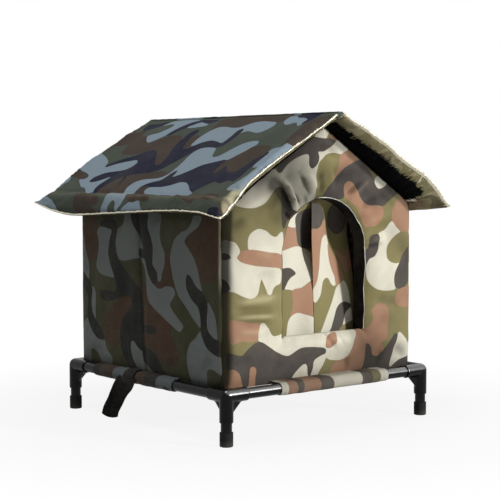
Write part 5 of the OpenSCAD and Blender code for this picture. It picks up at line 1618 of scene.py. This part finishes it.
def moulding(name):
    """A smooth closed copy of a fitting's solid: merged, remeshed in small cells, and relaxed."""
    copy = placed(f"{name}_moulding", frame["nodes"][name].data.copy())
    weld = copy.modifiers.new("weld", "WELD")
    weld.merge_threshold = WELD * MM
    cells = copy.modifiers.new("cells", "REMESH")
    cells.mode, cells.voxel_size, cells.use_smooth_shade = "VOXEL", VOXEL * MM, True
    relax = copy.modifiers.new("relax", "SMOOTH")
    relax.factor, relax.iterations = 0.5, SMOOTHINGS
    bpy.context.view_layer.update()
    shaped = bpy.data.meshes.new_from_object(copy.evaluated_get(bpy.context.evaluated_depsgraph_get()))
    copy.modifiers.clear()
    copy.data = shaped
    copy.data.materials.clear()
    dress(copy, moulded, "house", name)
    print(f"{name}: {len(shaped.vertices)} points")


for end in ENDS:
    for side in SIDES:
        moulding(f"corner_{end}_{side}")

# %% [markdown]
# ## Rail sleeves
# Each wall's foot ends in a cloth sleeve round its rail. The section is a teardrop: from the cabin
# over the rail, round it, and back; along the rail it wrinkles, most at its ends.

# %% Sleeve print
FRONT_SLEEVE_PRINT = [
    (CREAM, -106, -40, -86, -40, -82, 60, -106, 60), (TAN, -86, -40, -70, -40, -62, 20, -74, 60, -82, 60),
    (DARK, -72, -40, -52, -40, -46, 10, -60, 60, -74, 60, -66, 20),
    (TAN, -52, -40, -26, -40, -22, 20, -34, 60, -56, 60),
    (DARK, -26, -40, -4, -40, 2, 14, -6, 60, -32, 60, -22, 20),
    (CREAM, -2, -40, 58, -40, 70, 16, 62, 60, -4, 60, 4, 12), (DARK, 60, -40, 76, -40, 80, 20, 66, 60),
    (CREAM, 96, -40, 120, -40, 120, 60, 92, 60, 100, 12)]
SIDE_SLEEVE_PRINT = [
    (GREY, -112, -40, -73, -40, -66, 8, -74, 60, -112, 60),
    (BLACK, -97, -2, -86, -6, -79, 10, -90, 20, -98, 12),
    (BLACK, -62, -40, -28, -40, -22, 20, -38, 60, -60, 60), (RUST, -28, -40, 12, -40, 6, 60, -38, 60),
    (GREY, 22, -40, 40, -40, 52, 12, 40, 60, 24, 26),
    (RUST, 52, -40, 92, -40, 84, 60, 40, 60, 52, 12), (BLACK, 92, -40, 112, -40, 112, 60, 84, 60)]

# %% Sleeve finishes
# Shaded copies of the printed cloth: the sleeves' colours are painted darker for the shade they stand in, the
# left one darker still.
SHADED_SLEEVE_COLOURS = srgb(98, 94, 70), srgb(176, 172, 158), srgb(130, 101, 83), srgb(72, 66, 62)
SHADED_LEFT_SLEEVE_COLOURS = srgb(52, 50, 42), srgb(92, 98, 100), srgb(60, 48, 42), srgb(34, 34, 34)
shaded_sleeve_cloth = camouflage("sleeve_camouflage", SHADED_SLEEVE_COLOURS, 0.08)
shaded_left_sleeve_cloth = camouflage("left_sleeve_camouflage", SHADED_LEFT_SLEEVE_COLOURS, 0.05)

# %% Sleeves
rail_z = hinge["strap_swing"][2]
SLEEVE_T, INNER_R = 1.2, 8.35
wall_line = {"front": front_y, "rear": rear_y, "left": -half_w, "right": half_w}
rail_line = {name: sum(box(f"rail_{name}"))[1 if name in ENDS else 0] / 2 for name in wall_line}


def sleeve_section(reach):
    """Distances outwards and heights from the rail's middle: a flat tab from the cabin, a ring of
    seven tenths of a turn round the rail, and the way back."""
    turn = np.linspace(0.5 * math.pi, 1.72 * math.pi, 34)
    ring = INNER_R * stacked(np.cos(turn), np.sin(turn))
    tab_out = stacked(np.linspace(reach, 0.9, 12), np.linspace(9.3, 8.4, 12))
    back_x, back_z = np.linspace(ring[-1, 0] + 0.8, reach - 1, 10), np.linspace(ring[-1, 1] + 2.0, 7.9, 10)
    return np.concatenate([tab_out, ring, stacked(back_x, back_z)])


def sleeve(end, material, patches):
    """The section pushed out by waves on the ring and by wrinkles at the sleeve's ends; the grid's
    rows run along the rail."""
    name, along_x = f"sleeve_{end}", end in ENDS
    low, high = (corner[0 if along_x else 1] for corner in box(name))
    start, stop = low + 0.5, high - 0.5
    section = sleeve_section(TURN[end] * (rail_line[end] - wall_line[end]))
    length = np.append(0, np.cumsum(np.linalg.norm(np.diff(section, axis=0), axis=1)))
    w, k = grid(np.linspace(start, stop, 110), length)
    p = stacked(w, k)
    ends = waning(np.minimum(w - start, stop - w), 9)
    loose = 0.3 * (1.2 + waves(p, 26, 111)) * (1 - ends)
    loose = loose + ends * 0.35 * (1 + np.sin(w * 1.1 + 2.5 * waves(p, 14, 112)))
    inner = loose * (0.35 + 0.65 * ramp(np.minimum(k - 14, length[-1] - 6 - k), 8))

    def laid(depth):
        """The section pushed out by a depth at each point, laid along the rail."""
        outwards, up = np.moveaxis(section + unit(section) * depth[..., None], -1, 0)
        across, up = rail_line[end] - TURN[end] * outwards, rail_z + up
        return np.stack([w, across, up] if along_x else [across, w, up], -1)

    middle = 0 if along_x else (start + stop) / 2
    fields = printed(stacked(w - middle, k - 30), patches)
    skin = laid(inner + SLEEVE_T * (1 - 0.6 * ends))
    made = closed_form(f"{name}_cloth", skin, laid(inner), p, fields)
    dress(made, material, "house", name)


for end in ENDS:
    sleeve(end, shaded_sleeve_cloth, FRONT_SLEEVE_PRINT)
sleeve("left", shaded_left_sleeve_cloth, SIDE_SLEEVE_PRINT)
sleeve("right", shaded_sleeve_cloth, SIDE_SLEEVE_PRINT)

# %% [markdown]
# ## Tie strap
# Black webbing comes out between the wall and the left rail, bends over the rail and hangs down with
# half a twist. The tail is a ribbon: a smooth curve through listed points, its width turned a
# little more at each.

# %% Strap
STRAP_W, STRAP_T, TAIL_L, ROOT_L = 25.0, 1.4, 70, 24
TAIL_STEPS, WIDEN, TIP, FACET = 60, 0.22, 3.5, 16.0
strap_root_low, strap_root_high = box("strap_root")
strap_y = (strap_root_low[1] + strap_root_high[1]) / 2
strap_x = hinge["strap_swing"][0]
TAIL_ROUTE = ((0, 0, 0), (-3, 12, -13), (-6, 19, -25), (-9.5, 23, -37), (-13, 28, -49), (-14, 31, -59))
TAIL_TURN = (0, 30, 44, 49, 50, 50)


def ribbon(name, centre, across, body, node_name, widen=0.0, tip=0.0, facet=0.0):
    """Webbing along a line of centres: each row runs across it, a little thinner at its selvedges.
    It may be wider at its start, end in a curve, and be bent along a slanting line."""
    share = np.linspace(-1, 1, 25)
    along = np.linspace(0, 1, len(centre))[:, None]
    wide = STRAP_W / 2 * (1 + widen * bell(along, 0, 0.3)) * share[None]
    rows = centre[:, None] + across[:, None] * wide[..., None]
    way = unit(np.gradient(centre, axis=0))
    rows = rows + way[:, None] * (tip * (1 - share[None] ** 2) * along ** 10)[..., None]
    bent = np.clip(0.36 + 0.2 * share[None] - along, 0, 1) * (1 - bell(along, 0, 0.12))
    rows = rows + grid_normals(rows) * (facet * bent)[..., None]
    half = grid_normals(rows) * STRAP_T / 2 * (0.55 + 0.45 * np.sqrt(1 - share ** 2))[None, :, None]
    walk = np.append(0, np.cumsum(np.linalg.norm(np.diff(centre, axis=0), axis=1)))
    uv = np.stack(grid(walk, share * STRAP_W / 2), -1)
    return dress(closed_form(name, rows + half, rows - half, uv), webbing, body, node_name)


fine = np.linspace(0, len(TAIL_ROUTE) - 1, TAIL_STEPS)
knots = np.arange(len(TAIL_ROUTE))
route = np.stack([profile(list(zip(knots, column)), fine) for column in zip(*TAIL_ROUTE)], -1)
turns = np.radians(profile(list(zip(knots, TAIL_TURN)), fine))
at_top = bell(np.linalg.norm(route, axis=1), 0, 9)[:, None]
tail_way = unit(np.gradient(route, axis=0)) * (1 - at_top) + at_top * [0, 0, -1.0]
across = stacked(-np.sin(turns), np.cos(turns), 0)
across = unit(across - (across * tail_way).sum(1, keepdims=True) * tail_way)
drawn_forward = [0, 3.0, 0] * waning(np.linspace(0, 1, TAIL_STEPS), 0.3)[:, None]
tail_centre = route + [strap_x, strap_y, rail_z - 0.9] - drawn_forward
tail = ribbon("strap_tail_webbing", tail_centre, across, "strap", "strap_tail", WIDEN, TIP, FACET)

strap_r = strap_root_high[2] - rail_z - 0.75
a = np.linspace(0, math.pi / 2, 16)
flat_x = np.linspace(strap_root_high[0] - 0.3, rail_line["left"], 8)[:-1]
root_x = np.concatenate([flat_x, rail_line["left"] - strap_r * np.sin(a)])
root_z = np.concatenate([0 * flat_x + rail_z + strap_r, rail_z + strap_r * np.cos(a)])
root_centre = stacked(root_x, strap_y, root_z)
root_across = np.tile([0, 1.0, 0], (len(root_x), 1))
root = ribbon("strap_root_webbing", root_centre, root_across, "house", "strap_root")

# %% [markdown]
# ## Floor, light and world
# A plain pale floor takes the shadow. The key light stands low to the front right, as the sun does in
# the photograph, a softbox hangs over the roof, and the white world fills the shade. Camera, mirror
# and glass rays see plain white.

# %% Stage


def seen_rays(tree):
    """One for camera, glossy and transmission rays, nought for light that bounces."""
    rays = node(tree, "LightPath")
    seen = math_node(tree, "MAXIMUM", rays.outputs["Is Camera Ray"], rays.outputs["Is Glossy Ray"])
    return math_node(tree, "MAXIMUM", seen, rays.outputs["Is Transmission Ray"])


HALF, SHADOW_REACH, WHITE_FROM = 4, 0.25, 0.7
floor_mesh = bpy.data.meshes.new("floor")
floor_mesh.from_pydata([(-HALF, -HALF, 0), (HALF, -HALF, 0), (HALF, HALF, 0), (-HALF, HALF, 0)], [],
                       [(0, 1, 2, 3)])
floor = placed("floor", floor_mesh)
floor_paint, tree, shader = finish("floor_paint", srgb(188, 188, 186), 0.9)
white = node(tree, "Emission", Strength=1.0)
place = coordinates(tree, "Object")
distance = node(tree, "VectorMath", {"operation": "LENGTH"}, _0=place).outputs["Value"]
fade = smooth_range(tree, distance, SHADOW_REACH, WHITE_FROM, 0.88, 1.0)
share = math_node(tree, "MULTIPLY", fade, seen_rays(tree))
blend = node(tree, "MixShader", _0=share, _1=shader.outputs[0], _2=white.outputs[0])
feed(tree, tree.nodes["Material Output"], Surface=blend.outputs[0])
floor_mesh.materials.append(floor_paint)

# %% Lights
HOUSE_MIDDLE = [0, 0, 0.25]
KEY_LEVEL, TOP_LEVEL, SIDE_LEVEL, WORLD_LIGHT = 0.94, 0.46, 0.07, 0.14


def lamp(name, place, size, level):
    """A round area light that faces the house; level is what it adds to a white surface facing it."""
    light = bpy.data.lights.new(name, "AREA")
    away = np.array(place) - HOUSE_MIDDLE
    light.shape, light.size = "DISK", size
    light.energy = level * math.pi ** 2 * float(away @ away)
    made = placed(name, light)
    made.location = place
    made.rotation_euler = (math.atan2(math.hypot(away[0], away[1]), away[2]), 0,
                           math.atan2(away[1], away[0]) + math.pi / 2)


lamp("key", (1.74, -3.47, 1.22), 0.45, KEY_LEVEL)
lamp("softbox", (-0.75, -0.2, 2.7), 0.9, TOP_LEVEL)
lamp("side_softbox", (-2.8, 0.9, 1.3), 1.2, SIDE_LEVEL)

# %% World
world = bpy.data.worlds.new("world")
bpy.context.scene.world = world
world.use_nodes = True
tree = world.node_tree
tree.nodes.clear()
lit = node(tree, "Background", Color=(1, 1, 1, 1), Strength=WORLD_LIGHT)
plain = node(tree, "Background", Color=(1, 1, 1, 1), Strength=1.0)
blend = node(tree, "MixShader", _0=seen_rays(tree), _1=lit.outputs[0], _2=plain.outputs[0])
feed(tree, node(tree, "OutputWorld"), Surface=blend.outputs[0])
bpy.context.scene.view_settings.view_transform = "Standard"
